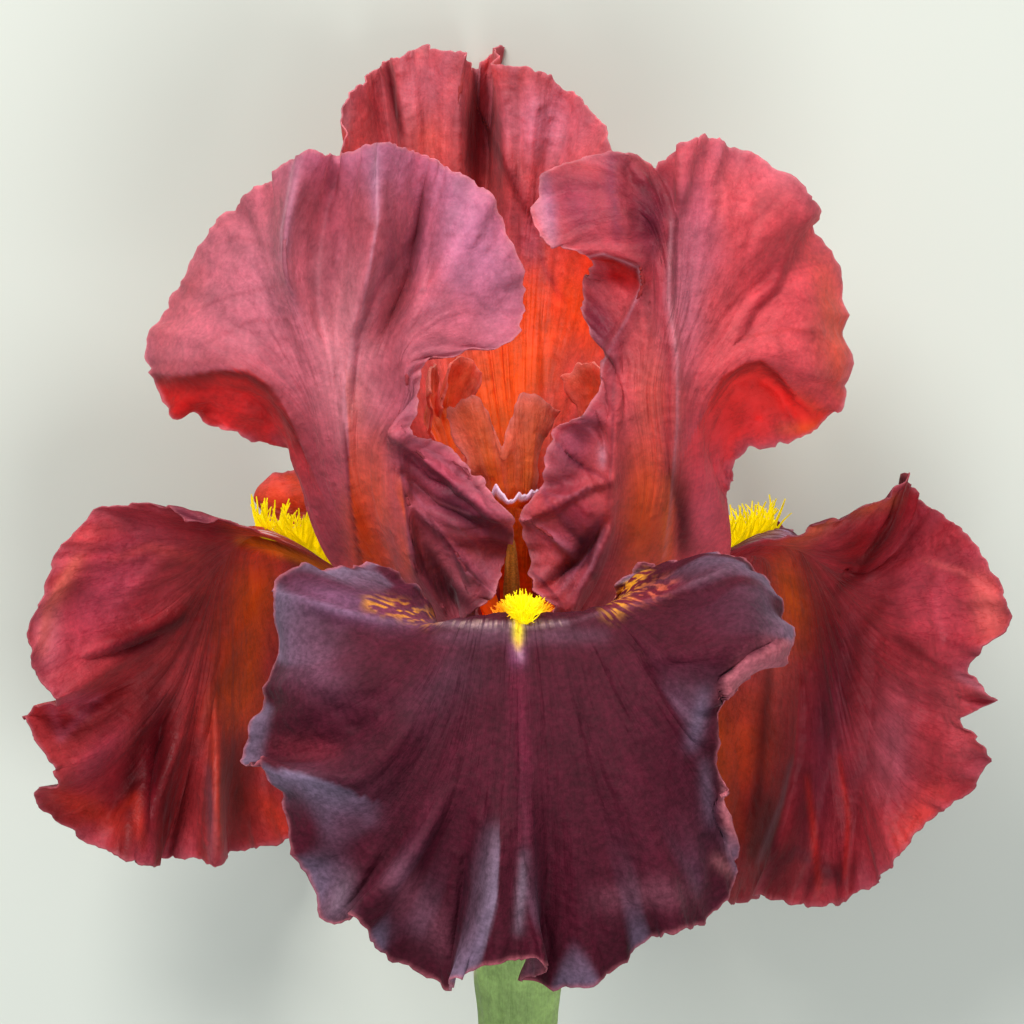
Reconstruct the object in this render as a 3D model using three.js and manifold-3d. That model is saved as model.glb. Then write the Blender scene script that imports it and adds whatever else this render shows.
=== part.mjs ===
// A tall bearded iris flower, cut with a short length of its stem and laid on its back: three upright
// petals (standards), three hanging petals (falls) with a beard of hairs on each, three petal-like style
// arms with a stamen under each, and the tube, ovary and two papery bracts (spathes) on the stem.
//
// Millimetres. x runs across the flower, y up its axis to the tips of the standards, and z away from the
// table. Everything is placed from the flower's axis, x = 0 and z = 0, with y = 0 at the level where the
// falls turn down; the whole flower is then set on the table.
import * as THREE from "three";
import { mergeVertices } from "three/addons/utils/BufferGeometryUtils.js";
import Module from "manifold-3d";

const wasm = await Module();
wasm.setup();

// Driving sizes.
const BLADE = 0.7; // thickness of a petal
const SEAT = 0.5; // clearance between pieces that grow from one another
const TUBE_TOP = -18; // the rim on which petals, stamens and style arms stand
const TABLE = -58; // height of the table below the flower's axis
const PRESSED = 0.25; // height of a petal's middle surface where the table presses it flat
const TURNED_SIDES = 24;
const THIRD = (2 * Math.PI) / 3;

// The petals, from the left margin to the right one as seen from the front of the flower: points across the
// neck, where the claw widens, points across the middle of the blade, and the outer part of each rib, which
// ends on the margin. A rib that stops short, or stands proud of its neighbours, is a wave of the margin.
const STANDARD_LEFT = {
  neck: [
    [-28, 5, 2], [-26, 16, 12], [-23, 17.5, 13.5], [-18.5, 12, 17], [-6, -4.5, 12],
  ],
  middle: [
    [-33, 16, 5], [-33, 26.5, 11.5], [-32, 34.5, 15], [-30.5, 36.5, 18], [-28, 36.5, 18],
    [-24, 37, 18.5], [-21.5, 36, 21], [-20.5, 30.5, 22], [-18, 21.5, 20], [-12.5, 11, 17],
    [-7, -2, 15],
  ],
  ribs: [
    [[-34, 26.5, 4.5]],
    [[-35, 24.5, 7], [-36, 27, 5.5]],
    [[-36, 29.5, 10], [-39, 25, 5]],
    [[-38.5, 35, 12], [-45, 28.5, 5]],
    [[-42.5, 38.5, 14.5], [-52.5, 30.5, 5]],
    [[-45, 43, 13.5], [-58, 39.5, 1]],
    [[-41, 48.5, 13.5], [-52, 49.5, -0.5]],
    [[-39, 54, 14], [-46.5, 59, 1.5]],
    [[-37, 55.5, 15], [-40.5, 65.5, 4.5]],
    [[-36, 56.5, 17.5], [-36.5, 69, 10]],
    [[-35.5, 57.5, 20.5], [-32.5, 73, 14]],
    [[-30.5, 54.5, 13], [-27, 71, 7.5]],
    [[-23, 56.5, 23], [-21.5, 75, 16]],
    [[-20, 55.5, 20], [-17.5, 74, 14]],
    [[-17, 53, 12.5], [-13.5, 71.5, 10.5]],
    [[-13.5, 56, 17.5], [-10.5, 70, 12.5]],
    [[-10.5, 56.5, 20.5], [-4.5, 67, 15.5]],
    [[-11, 49, 22.5], [1, 52, 16.5]],
    [[-15.5, 45, 23], [-1, 45, 22]],
    [[-20, 40, 23], [-14, 42.5, 23.5]],
    [[-21, 35.5, 23], [-18.5, 37, 23]],
    [[-20, 30, 22.5], [-17.5, 31, 22]],
    [[-15.5, 25.5, 20], [-11, 28.5, 19.5]],
    [[-10.5, 21.5, 20], [-6, 23.5, 20.5]],
    [[-8, 17, 22], [-1, 17.5, 23]],
    [[-7.5, 12, 18], [-1.5, 10.5, 17]],
    [[-7.5, 7.5, 19], [-3, 6.5, 20]],
    [[-7.5, 4, 19.5], [-4.5, 4, 20.5]],
    [[-7, 0, 17.5], [-6.5, 1.5, 20]],
  ],
};
const STANDARD_RIGHT = {
  neck: [
    [6, -4.5, 12], [18.5, 16, 15], [21.5, 17.5, 14.5], [24.5, 16, 11], [33.5, 6.5, -1.5],
  ],
  middle: [
    [6.5, -2, 15], [13, 10.5, 19], [14.5, 25, 21.5], [16.5, 34, 20.5], [18.5, 37, 21],
    [20, 37.5, 20.5], [21, 37.5, 20.5], [21.5, 37.5, 20.5], [23, 37.5, 20.5], [26, 36.5, 18],
    [28.5, 33, 15.5], [29, 26, 10], [32.5, 15.5, 2],
  ],
  ribs: [
    [[6.5, 0, 17.5], [6.5, 1.5, 20]],
    [[7.5, 4, 19.5], [4.5, 4, 20.5]],
    [[7.5, 8, 19], [2, 7.5, 20]],
    [[9.5, 12, 20], [1.5, 11.5, 18]],
    [[10, 17, 21], [0, 17.5, 20]],
    [[11, 23, 20.5], [3.5, 22, 19]],
    [[12, 29, 21.5], [5.5, 31, 20]],
    [[13, 33, 21.5], [9.5, 34, 22.5]],
    [[15, 36.5, 19], [13, 38.5, 16.5]],
    [[15.5, 40, 18], [12, 44, 15]],
    [[16, 43, 17.5], [10, 49, 13]],
    [[16.5, 44.5, 17], [13.5, 49, 14], [10, 52.5, 11.5]],
    [[18.5, 46, 18], [16.5, 52.5, 16.5], [11.5, 55.5, 14.5]],
    [[20.5, 48, 19.5], [19, 56, 18], [11, 57.5, 17.5]],
    [[22, 50, 19], [19.5, 60, 18], [8.5, 58.5, 19]],
    [[22.5, 51, 19], [19, 63, 18.5], [5.5, 59.5, 20]],
    [[23, 51.5, 18.5], [18.5, 65, 18], [2.5, 62.5, 16.5]],
    [[23, 52, 18.5], [18, 66, 16.5], [3.5, 68, 13]],
    [[23.5, 52, 17.5], [20.5, 65.5, 14.5], [9.5, 71.5, 11.5]],
    [[23.5, 52.5, 17.5], [21.5, 65, 13], [17, 72, 10.5]],
    [[23.5, 52, 17.5], [23, 63, 11], [20.5, 69.5, 8]],
    [[24, 51.5, 17.5], [24.5, 64, 15], [25, 74, 13]],
    [[24.5, 51, 19], [26, 63.5, 16], [28, 75, 11.5]],
    [[26, 51, 19], [28.5, 62.5, 14.5], [31, 73, 7]],
    [[28.5, 50.5, 17], [33, 62, 12.5], [36.5, 70.5, 4.5]],
    [[31, 50, 15], [38.5, 60.5, 11.5], [45.5, 64, 5]],
    [[33, 48, 12.5], [41, 54.5, 6], [45.5, 59, -2.5]],
    [[35.5, 46, 12.5], [43, 50.5, 7.5], [49.5, 53, -2]],
    [[36, 43, 14.5], [44.5, 44.5, 9], [51, 43, -1]],
    [[36, 40, 15], [44.5, 37.5, 10.5], [50.5, 35, 1.5]],
    [[35.5, 39.5, 15], [43.5, 35.5, 7], [49.5, 30.5, 2.5]],
    [[33.5, 36.5, 12.5], [40.5, 32, 5.5], [44, 26.5, 2.5]],
    [[32, 33, 10.5], [36.5, 29.5, 6], [38, 25, 4]],
    [[31, 28, 8.5], [33.5, 25, 5]],
    [[31, 20, 5], [32.5, 22.5, 4.5]],
    [[32.5, 17.5, 2.5], [33, 20, 4]],
  ],
};
const STANDARD_BACK = {
  neck: [
    [-10, 7.5, -10], [-5.5, 11, -15.5], [-1, 12, -18], [2.5, 12, -17], [7.5, 7.5, -9],
  ],
  middle: [
    [-17, 22.5, -14], [-13, 25.5, -23], [-10, 26.5, -26], [-6, 27.5, -28.5], [-3, 27, -30.5],
    [-1, 27, -30.5], [2, 27.5, -29.5], [6.5, 26, -25], [11, 21, -13.5],
  ],
  ribs: [
    [[-22.5, 38.5, -20.5], [-26.5, 51.5, -27.5], [-28.5, 61, -33.5]],
    [[-21, 43.5, -29.5], [-26, 58, -37], [-28, 64.5, -36]],
    [[-19.5, 45.5, -35], [-24, 62, -42], [-26, 72.5, -40]],
    [[-16.5, 46.5, -39.5], [-20, 62.5, -48], [-22, 75.5, -50]],
    [[-14.5, 46.5, -39.5], [-17.5, 63.5, -43], [-19, 78, -44]],
    [[-11.5, 47.5, -41], [-13.5, 63, -44], [-14, 79, -47.5]],
    [[-9, 47.5, -41], [-9.5, 63.5, -41], [-8, 78.5, -41.5]],
    [[-6.5, 47, -44.5], [-6.5, 61.5, -52], [-6.5, 74.5, -55.5]],
    [[-4.5, 47, -44.5], [-4, 61, -55], [-3.5, 71, -60], [-2.5, 77.5, -60.5]],
    [[-2, 47.5, -42], [-1.5, 58.5, -42], [-3, 76.5, -43]],
    [[0.5, 47.5, -41], [1, 59, -41], [2.5, 76.5, -42]],
    [[3, 46.5, -39.5], [4.5, 58.5, -42], [7.5, 73, -43]],
    [[6, 43.5, -36], [8, 58, -37], [13, 68, -35]],
    [[10, 40, -30], [13, 52.5, -31.5], [15, 62, -31.5]],
    [[13, 36.5, -24], [15.5, 47, -27.5], [17.5, 53, -28.5]],
    [[14.5, 31, -19], [16.5, 40, -23], [18, 44, -24.5]],
  ],
};
const FALL_FRONT = {
  neck: [
    [-11, -2, 23], [-5, 1, 33.5], [0.5, 2, 35.5], [7.5, 0.5, 30.5], [11.5, -2, 23],
  ],
  middle: [
    [-13, 5.5, 28.5], [-13.5, 5, 40], [-10, 6.5, 45.5], [-7, 7, 45.5], [-5, 7.5, 45.5],
    [-1.5, 7.5, 45.5], [0.5, 7.5, 45.5], [3.5, 7.5, 45.5], [8, 7.5, 44.5], [11, 8, 43.5],
    [13.5, 8.5, 42], [16.5, 8, 35], [14, 4, 26.5],
  ],
  ribs: [
    [[-17, 10, 31.5], [-21.5, 13, 33]],
    [[-21, 10.5, 40.5], [-27.5, 13.5, 36]],
    [[-25, 10.5, 47], [-37, 12, 40.5]],
    [[-22, 5.5, 53], [-32.5, 3.5, 50.5], [-36.5, 3.5, 43]],
    [[-19, 2, 57], [-31, -3, 56], [-39, -6, 45.5]],
    [[-17.5, -2, 59.5], [-29.5, -10.5, 55.5], [-41.5, -15, 46]],
    [[-15.5, -4.5, 62.5], [-25, -13, 65], [-38, -13.5, 54]],
    [[-13.5, -8, 61], [-23.5, -21, 63], [-33, -26, 56.5]],
    [[-11.5, -10.5, 61.5], [-22, -29, 62.5], [-29, -36, 60]],
    [[-10, -13.5, 63], [-18.5, -27.5, 67], [-24.5, -33.5, 65.5]],
    [[-8.5, -15, 62.5], [-16, -32, 62], [-20.5, -40.5, 59.5]],
    [[-5.5, -16.5, 63], [-8.5, -31.5, 64], [-10, -46, 61]],
    [[-3.5, -16, 65], [-5, -30, 70], [-9, -41, 74]],
    [[-1, -16, 65], [-1.5, -30.5, 69], [-1.5, -39, 70.5]],
    [[1.5, -16, 65], [2, -30, 70], [4, -39.5, 72]],
    [[4, -17, 62], [4.5, -32, 63], [1.5, -45.5, 60.5]],
    [[7.5, -16.5, 63], [9, -31.5, 65], [10.5, -45, 62.5]],
    [[11, -13.5, 62], [16, -30, 64.5], [18, -40, 60.5]],
    [[14, -10.5, 61.5], [21, -26.5, 66], [23.5, -36, 65]],
    [[16.5, -8, 61], [25.5, -24.5, 61.5], [28.5, -36.5, 57]],
    [[18.5, -5, 59.5], [27.5, -17.5, 59], [33, -29.5, 54.5]],
    [[20.5, -2, 58.5], [27, -11, 60.5], [30.5, -16, 58.5]],
    [[21.5, 0.5, 58], [28.5, -4, 61], [30.5, -2, 58.5]],
    [[23.5, 4.5, 57.5], [32.5, 5.5, 60], [40, 2, 49.5]],
    [[25.5, 8, 54.5], [33, 10.5, 55], [40.5, 6.5, 43.5]],
    [[25.5, 10, 49], [33, 14, 48], [39, 10, 41]],
    [[23.5, 12.5, 43.5], [29.5, 16, 43.5], [33.5, 16, 39.5]],
    [[20, 11.5, 35.5], [23.5, 13, 36], [27.5, 13.5, 35]],
    [[16, 9, 30], [18.5, 12.5, 31]],
  ],
};
const FALL_LEFT = {
  neck: [
    [-28.5, 3, -9], [-29.5, 1, -17.5], [-30.5, 0.5, -20.5], [-30.5, -0.5, -23.5], [-26.5, 3.5, -27.5],
  ],
  middle: [
    [-38, 7.5, -11], [-39.5, 6.5, -18.5], [-41, 5.5, -25.5], [-42, 5, -27.5], [-42.5, 5, -29.5],
    [-43.5, 4.5, -31.5], [-44, 3.5, -33.5], [-44, 2, -35], [-41.5, -2, -40.5], [-37, 2, -39.5],
    [-31.5, 8, -33.5],
  ],
  ribs: [
    [[-44, 9.5, -12], [-47.5, 10.5, -13.5]],
    [[-49.5, 9, -16.5], [-58.5, 12, -16]],
    [[-53, 6.5, -21], [-66, 10, -17.5]],
    [[-55.5, 3, -23], [-72.5, 3, -15]],
    [[-57, -3, -25], [-72, -5, -16.5], [-76, -8.5, -10.5]],
    [[-56.5, -7.5, -27], [-67.5, -12.5, -20], [-74, -15.5, -12]],
    [[-56, -11.5, -27], [-64, -15.5, -21], [-71.5, -18.5, -11.5]],
    [[-56.5, -15.5, -29.5], [-68.5, -22, -26], [-78, -23, -19.5]],
    [[-56.5, -19, -29.5], [-67.5, -26, -23], [-75, -27, -14.5]],
    [[-56, -21.5, -30], [-65.5, -29.5, -22.5], [-72, -31, -14]],
    [[-57, -24.5, -30.5], [-67, -35, -25.5], [-76, -36, -19]],
    [[-55, -28, -32], [-63, -39, -29.5], [-68, -44.5, -24]],
    [[-53, -28, -31], [-57.5, -38, -25.5], [-59, -47.5, -20.5]],
    [[-51.5, -30.5, -35.5], [-54.5, -42.5, -37], [-56.5, -50, -34.5]],
    [[-49.5, -30.5, -35.5], [-51, -42, -34], [-52, -49.5, -32.5]],
    [[-47.5, -30.5, -34.5], [-48, -41, -30], [-48, -50, -30.5]],
    [[-45.5, -32, -40.5], [-46, -42, -42], [-45, -49.5, -37.5]],
    [[-42, -31.5, -46.5], [-40.5, -42, -48.5], [-37.5, -50, -47.5]],
    [[-37.5, -30, -53], [-33.5, -38.5, -54], [-30.5, -45, -54]],
    [[-33.5, -24, -56], [-29.5, -29.5, -58], [-27, -34.5, -58]],
    [[-32, -15.5, -56], [-28, -20, -59], [-26.5, -21.5, -59]],
    [[-32.5, -4.5, -50], [-29.5, -7, -52.5], [-27.5, -8, -53.5]],
    [[-42, 7.5, -40.5], [-40.5, 9.5, -44]],
    [[-34.5, 11.5, -38], [-36, 13, -40.5]],
  ],
};
const FALL_RIGHT = {
  neck: [
    [28.5, 3.5, -9], [29.5, 1.5, -16.5], [30.5, 0.5, -19.5], [30.5, -0.5, -24.5], [31, 2, -27],
  ],
  middle: [
    [35.5, 6.5, -10.5], [38, 5.5, -17.5], [40.5, 5, -23.5], [41.5, 4.5, -27.5], [42, 4.5, -28.5],
    [42.5, 4.5, -30.5], [43.5, 3.5, -33.5], [42, -0.5, -36.5], [39.5, -3, -41.5], [36, -2, -42.5],
    [38.5, 3, -41.5],
  ],
  ribs: [
    [[41, 7.5, -12], [46.5, 9, -13]],
    [[46.5, 7, -15], [52.5, 11.5, -14.5]],
    [[49.5, 5, -16.5], [58, 13.5, -13]],
    [[52, 2, -21], [57.5, 7.5, -18], [60.5, 16.5, -16]],
    [[54, -1, -25.5], [60, 3, -26], [63, 11, -23]],
    [[55.5, -2.5, -25], [64.5, 2, -21], [70, 7.5, -16]],
    [[56.5, -5.5, -25.5], [67, -3, -20], [75.5, -1, -12]],
    [[57, -9, -26.5], [68, -8.5, -19.5], [76.5, -6.5, -11]],
    [[57.5, -12.5, -28], [65, -14.5, -21.5], [70.5, -14.5, -15.5]],
    [[58, -16, -28.5], [67.5, -19, -20.5], [75, -18.5, -12.5]],
    [[57.5, -19.5, -29.5], [66, -23.5, -24.5], [70, -23.5, -19.5]],
    [[57.5, -23, -30], [66.5, -27.5, -22.5], [74, -27, -14.5]],
    [[56.5, -27, -31], [65, -35, -25.5], [71, -35.5, -19]],
    [[55, -30, -31.5], [61.5, -40.5, -28], [64.5, -41.5, -24]],
    [[53.5, -31, -32.5], [57.5, -42, -29], [60, -47.5, -24.5]],
    [[52, -32, -34], [54.5, -45, -34.5], [56, -54, -31.5]],
    [[50, -32.5, -36], [51, -45, -34.5], [50.5, -56.5, -31]],
    [[47.5, -32.5, -36], [47, -44.5, -32.5], [43.5, -55.5, -27]],
    [[44.5, -31.5, -39.5], [42, -44.5, -38.5], [38, -56, -35]],
    [[40.5, -31.5, -46.5], [37.5, -46.5, -47.5], [34.5, -60, -45.5]],
    [[36, -29.5, -52], [32.5, -43.5, -54], [30.5, -56.5, -53.5]],
    [[32.5, -24, -56], [29.5, -34.5, -58], [27.5, -43, -58.5]],
    [[31.5, -15.5, -55], [28, -23, -58.5], [26.5, -28, -59.5]],
    [[35, -4, -51.5], [32, -9, -55.5]],
    [[40, 0, -49], [40, -3, -52.5]],
    [[42, 2.5, -44.5], [44, 1, -47]],
  ],
};

// Every petal: the way it faces round the axis, its claw just above the ring, its ribs and its colour.
const PETAL_SEAT = { ring: 5.8, angle: THREE.MathUtils.degToRad(24) };
const STANDARD_CLAW = { ...PETAL_SEAT, radius: 13, height: -6, halfWidth: 8, bow: 2.5, rise: 0 };
const FALL_CLAW = { ...PETAL_SEAT, radius: 16, height: -10.5, halfWidth: 7, bow: 0, rise: 3.5 };
const STANDARDS = [
  { name: "standard_left", around: -THIRD / 2, turn: 1, shape: STANDARD_LEFT, color: 0xb65a60 },
  { name: "standard_right", around: THIRD / 2, turn: 1, shape: STANDARD_RIGHT, color: 0xb4444a },
  { name: "standard_back", around: Math.PI, turn: -1, shape: STANDARD_BACK, color: 0xc8402c },
];
const FALLS = [
  { name: "front", around: 0, turn: 1, shape: FALL_FRONT, color: 0x4a1526 },
  { name: "left", around: -THIRD, turn: -1, shape: FALL_LEFT, color: 0x8c1f20 },
  { name: "right", around: THIRD, turn: 1, shape: FALL_RIGHT, color: 0x8c1f20 },
];
const PETAL_GRID = { rows: 10, clawRows: 4, columnsPerRib: 2 }; // the claw's rows end at the middle
const LENGTH_STEPS = 240;
const EASING_PASSES = 30;
const OPENING_PASSES = 40;
const OPENING_STEP = 0.25;
const TIGHTEST_FACE = 0.15; // least share of a triangle that is left on the inside of a fold
const TIGHTEST_PLEAT = 3 * BLADE; // spacing of points below which pleats are eased out

const flower = new THREE.Group();

function addMesh(name, geometry, color, roughness = 0.6) {
  const material = new THREE.MeshStandardMaterial({ color, roughness, metalness: 0 });
  const mesh = new THREE.Mesh(geometry, material);
  mesh.name = name;
  flower.add(mesh);
}

// A point at an angle round the axis from the front, a radius and a height.
function polar(around, radius, height) {
  return new THREE.Vector3(radius * Math.sin(around), height, radius * Math.cos(around));
}

// The closed solid between two grids of points, one for each face of a blade, with a rim all round.
function solidBetween(top, bottom) {
  const rows = top.length;
  const columns = top[0].length;
  const points = [...top.flat(), ...bottom.flat()];
  const faces = [];
  const under = rows * columns;
  const at = (row, column) => row * columns + column;
  for (let row = 0; row + 1 < rows; row++) {
    for (let column = 0; column + 1 < columns; column++) {
      const [a, b] = [at(row, column), at(row, column + 1)];
      const [c, d] = [at(row + 1, column + 1), at(row + 1, column)];
      faces.push(a, b, c, a, c, d);
      faces.push(under + a, under + c, under + b, under + a, under + d, under + c);
    }
  }
  const rim = [];
  for (let column = 0; column + 1 < columns; column++) rim.push(at(0, column));
  for (let row = 0; row + 1 < rows; row++) rim.push(at(row, columns - 1));
  for (let column = columns - 1; column > 0; column--) rim.push(at(rows - 1, column));
  for (let row = rows - 1; row > 0; row--) rim.push(at(row, 0));
  rim.forEach((a, index) => {
    const b = rim[(index + 1) % rim.length];
    faces.push(a, under + a, under + b, a, under + b, b);
  });
  const geometry = new THREE.BufferGeometry().setFromPoints(points);
  geometry.setIndex(faces);
  return geometry;
}

// The normal of a grid of points at every point: the mean of those of the triangles that meet there.
function normalsOf(grid) {
  const normals = grid.map((line) => line.map(() => new THREE.Vector3()));
  const triangle = new THREE.Triangle();
  const normal = new THREE.Vector3();
  for (let row = 0; row + 1 < grid.length; row++) {
    for (let column = 0; column + 1 < grid[0].length; column++) {
      const [a, b] = [[row, column], [row, column + 1]];
      const [c, d] = [[row + 1, column + 1], [row + 1, column]];
      for (const corners of [[a, b, c], [a, c, d]]) {
        triangle.set(...corners.map(([r, k]) => grid[r][k]));
        triangle.getNormal(normal);
        for (const [r, k] of corners) normals[r][k].add(normal);
      }
    }
  }
  normals.flat().forEach((sum) => sum.normalize());
  return normals;
}

// A blade of even thickness about a grid of points; what would dip below the table is pressed flat on it.
function bladeAbout(grid, thickness) {
  const normals = normalsOf(grid);
  const face = (side) =>
    grid.map((line, row) =>
      line.map((point, column) => {
        const moved = point.clone().addScaledVector(normals[row][column], (side * thickness) / 2);
        moved.z = Math.max(moved.z, TABLE);
        return moved;
      }),
    );
  return solidBetween(face(1), face(-1));
}

// Eases a line of points across a petal where they crowd together, as a thick blade can't pleat so tightly.
function easePleats(line) {
  const eased = line.map((point, column) => {
    if (column === 0 || column === line.length - 1) return point;
    const [before, after] = [line[column - 1], line[column + 1]];
    const spacing = (point.distanceTo(before) + point.distanceTo(after)) / 2;
    const pull = Math.max(0, 1 - spacing / TIGHTEST_PLEAT) / 2;
    return point.clone().lerp(before.clone().lerp(after, 0.5), pull);
  });
  line.splice(0, line.length, ...eased);
}

// Opens the folds of a grid that are too tight for the blade's thickness, a little at a time, until neither
// face of the blade turns over.
function openFolds(grid) {
  const triangle = new THREE.Triangle();
  const [middle, face] = [new THREE.Vector3(), new THREE.Vector3()];
  const inside = (row, column) => grid[row] && grid[row][column];
  for (let pass = 0; pass < OPENING_PASSES; pass++) {
    const normals = normalsOf(grid);
    const tight = new Set();
    const test = (corners) => {
      triangle.setFromPointsAndIndices(corners.map(([row, column]) => grid[row][column]), 0, 1, 2);
      const area = triangle.getArea();
      triangle.getNormal(middle);
      for (const side of [BLADE / 2, -BLADE / 2]) {
        const moved = corners.map(([row, column]) =>
          grid[row][column].clone().addScaledVector(normals[row][column], side),
        );
        triangle.setFromPointsAndIndices(moved, 0, 1, 2);
        triangle.getNormal(face);
        if (triangle.getArea() * face.dot(middle) > TIGHTEST_FACE * area) continue;
        corners.forEach(([row, column]) => tight.add(row * grid[0].length + column));
      }
    };
    for (let row = 0; row + 1 < grid.length; row++) {
      for (let column = 0; column + 1 < grid[0].length; column++) {
        test([[row, column], [row, column + 1], [row + 1, column + 1]]);
        test([[row, column], [row + 1, column + 1], [row + 1, column]]);
      }
    }
    if (tight.size === 0) return;
    const before = grid.map((line) => line.map((point) => point.clone()));
    for (const index of tight) {
      const [row, column] = [Math.floor(index / grid[0].length), index % grid[0].length];
      if (row === 0) continue;
      const around = [[row - 1, column], [row + 1, column], [row, column - 1], [row, column + 1]];
      const near = around.filter(([r, c]) => inside(r, c)).map(([r, c]) => before[r][c]);
      const mean = near.reduce((sum, point) => sum.add(point), new THREE.Vector3()).divideScalar(near.length);
      grid[row][column].lerp(mean, OPENING_STEP);
    }
  }
}

// The middle surface of a petal: each rib starts on the ring round the axis, follows the claw through the
// neck and the middle of the blade, and ends with its own points; curves across the ribs join them.
function petalSurface({ around, turn, shape }, claw, { rows, clawRows, columnsPerRib } = PETAL_GRID) {
  const outward = polar(around, 1, 0);
  const sideways = new THREE.Vector3(outward.z, 0, -outward.x).multiplyScalar(turn);
  const vectors = (points) => points.map(([x, y, z]) => new THREE.Vector3(x, y, z));
  const neck = new THREE.CatmullRomCurve3(vectors(shape.neck));
  const middle = new THREE.CatmullRomCurve3(vectors(shape.middle));
  const ribs = shape.ribs.map((rib, index) => {
    const share = index / (shape.ribs.length - 1);
    const across = 2 * share - 1;
    const seat = polar(around + turn * across * claw.angle, claw.ring, TUBE_TOP + SEAT);
    const [radius, height] = [claw.radius - claw.bow * across ** 2, claw.height + claw.rise * across ** 2];
    const throat = polar(around, radius, height).addScaledVector(sideways, across * claw.halfWidth);
    const claws = [seat, throat, neck.getPoint(share), middle.getPoint(share)];
    const curve = new THREE.CatmullRomCurve3([...claws, ...vectors(rib)]);
    const step = (claws.length - 1) / (claws.length - 1 + rib.length);
    const lengths = curve.getLengths(LENGTH_STEPS);
    return { curve, blade: lengths[Math.round(step * LENGTH_STEPS)] / lengths[LENGTH_STEPS] };
  });
  const columns = columnsPerRib * (shape.ribs.length - 1);
  const grid = [];
  for (let row = 0; row <= rows; row++) {
    const inner = Math.min(1, row / clawRows);
    const outer = Math.max(0, (row - clawRows) / (rows - clawRows));
    const level = ribs.map(({ curve, blade }) => curve.getPointAt(inner * blade + outer * (1 - blade)));
    const joined = new THREE.CatmullRomCurve3(level);
    const points = [];
    for (let column = 0; column <= columns; column++) points.push(joined.getPoint(column / columns));
    grid.push(points);
  }
  for (let pass = 0; pass < EASING_PASSES; pass++) grid.forEach(easePleats);
  openFolds(grid);
  const lowest = TABLE + PRESSED;
  for (const point of grid.flat()) point.z = Math.max(point.z, lowest);
  return grid;
}

// Joins closed geometries that run into one another into one body.
function fuse(geometries) {
  const solids = geometries.map((geometry) => {
    const bare = new THREE.BufferGeometry();
    bare.setAttribute("position", geometry.getAttribute("position"));
    bare.setIndex(geometry.index);
    const merged = mergeVertices(bare, 1e-4);
    return new wasm.Manifold(
      new wasm.Mesh({
        numProp: 3,
        vertProperties: merged.getAttribute("position").array,
        triVerts: new Uint32Array(merged.index.array),
      }),
    );
  });
  const mesh = wasm.Manifold.union(solids).getMesh();
  const joined = new THREE.BufferGeometry();
  joined.setAttribute("position", new THREE.BufferAttribute(mesh.vertProperties, 3));
  joined.setIndex(new THREE.BufferAttribute(mesh.triVerts, 1));
  return joined;
}

// A closed turned body with a profile of radius and height, which swells by a share of its radius on three
// sides.
function turned({ bottom, top, lobes, profile }) {
  const closed = [[0, bottom], ...profile, [0, top]];
  const points = closed.map(([radius, height]) => new THREE.Vector2(radius, height));
  const geometry = new THREE.LatheGeometry(points, TURNED_SIDES);
  const place = geometry.getAttribute("position");
  for (let index = 0; index < place.count; index++) {
    const around = Math.atan2(place.getX(index), place.getZ(index));
    const swell = 1 + lobes * Math.cos(3 * around);
    place.setX(index, place.getX(index) * swell);
    place.setZ(index, place.getZ(index) * swell);
  }
  return geometry;
}

// A round rod along a curve.
function rodAlong(points, radius, curveSegments, steps) {
  const extrudePath = new THREE.CatmullRomCurve3(points);
  const round = new THREE.Shape().absarc(0, 0, radius, 0, 2 * Math.PI);
  return new THREE.ExtrudeGeometry(round, { extrudePath, steps, curveSegments, bevelEnabled: false });
}

// Standards and falls.
for (const petal of STANDARDS) {
  addMesh(petal.name, bladeAbout(petalSurface(petal, STANDARD_CLAW), BLADE), petal.color);
}
for (const fall of FALLS) {
  fall.surface = petalSurface(fall, FALL_CLAW);
  addMesh("fall_" + fall.name, bladeAbout(fall.surface, BLADE), fall.color);
}

// The tube below the petals, the ovary below that and the stem. All six petals stand on the tube's rim.
const TUBE = { bottom: -42, top: TUBE_TOP, lobes: 0.03 };
TUBE.profile = [[3.4, TUBE.bottom], [3.6, -34], [4.6, -26], [7, TUBE.top]];
const OVARY = { bottom: -64, top: TUBE.bottom - SEAT, lobes: 0.06 };
OVARY.profile = [[3, OVARY.bottom], [3.8, -61], [4.2, -56], [4, -50], [3.2, OVARY.top]];
addMesh("perianth_tube", turned(TUBE), 0x7d6a3a);
addMesh("ovary", turned(OVARY), 0x7fa544);
const STEM = { top: OVARY.bottom - SEAT, straight: -80, bottom: -116, bend: 1.2, radius: 3.5 };
const stemRoute = [
  new THREE.Vector3(0, STEM.top, 0),
  new THREE.Vector3(0, STEM.straight, 0),
  new THREE.Vector3(STEM.bend, STEM.bottom, -STEM.bend),
];
addMesh("stem", rodAlong(stemRoute, STEM.radius, 6, 4), 0x8fb35a);

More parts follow.
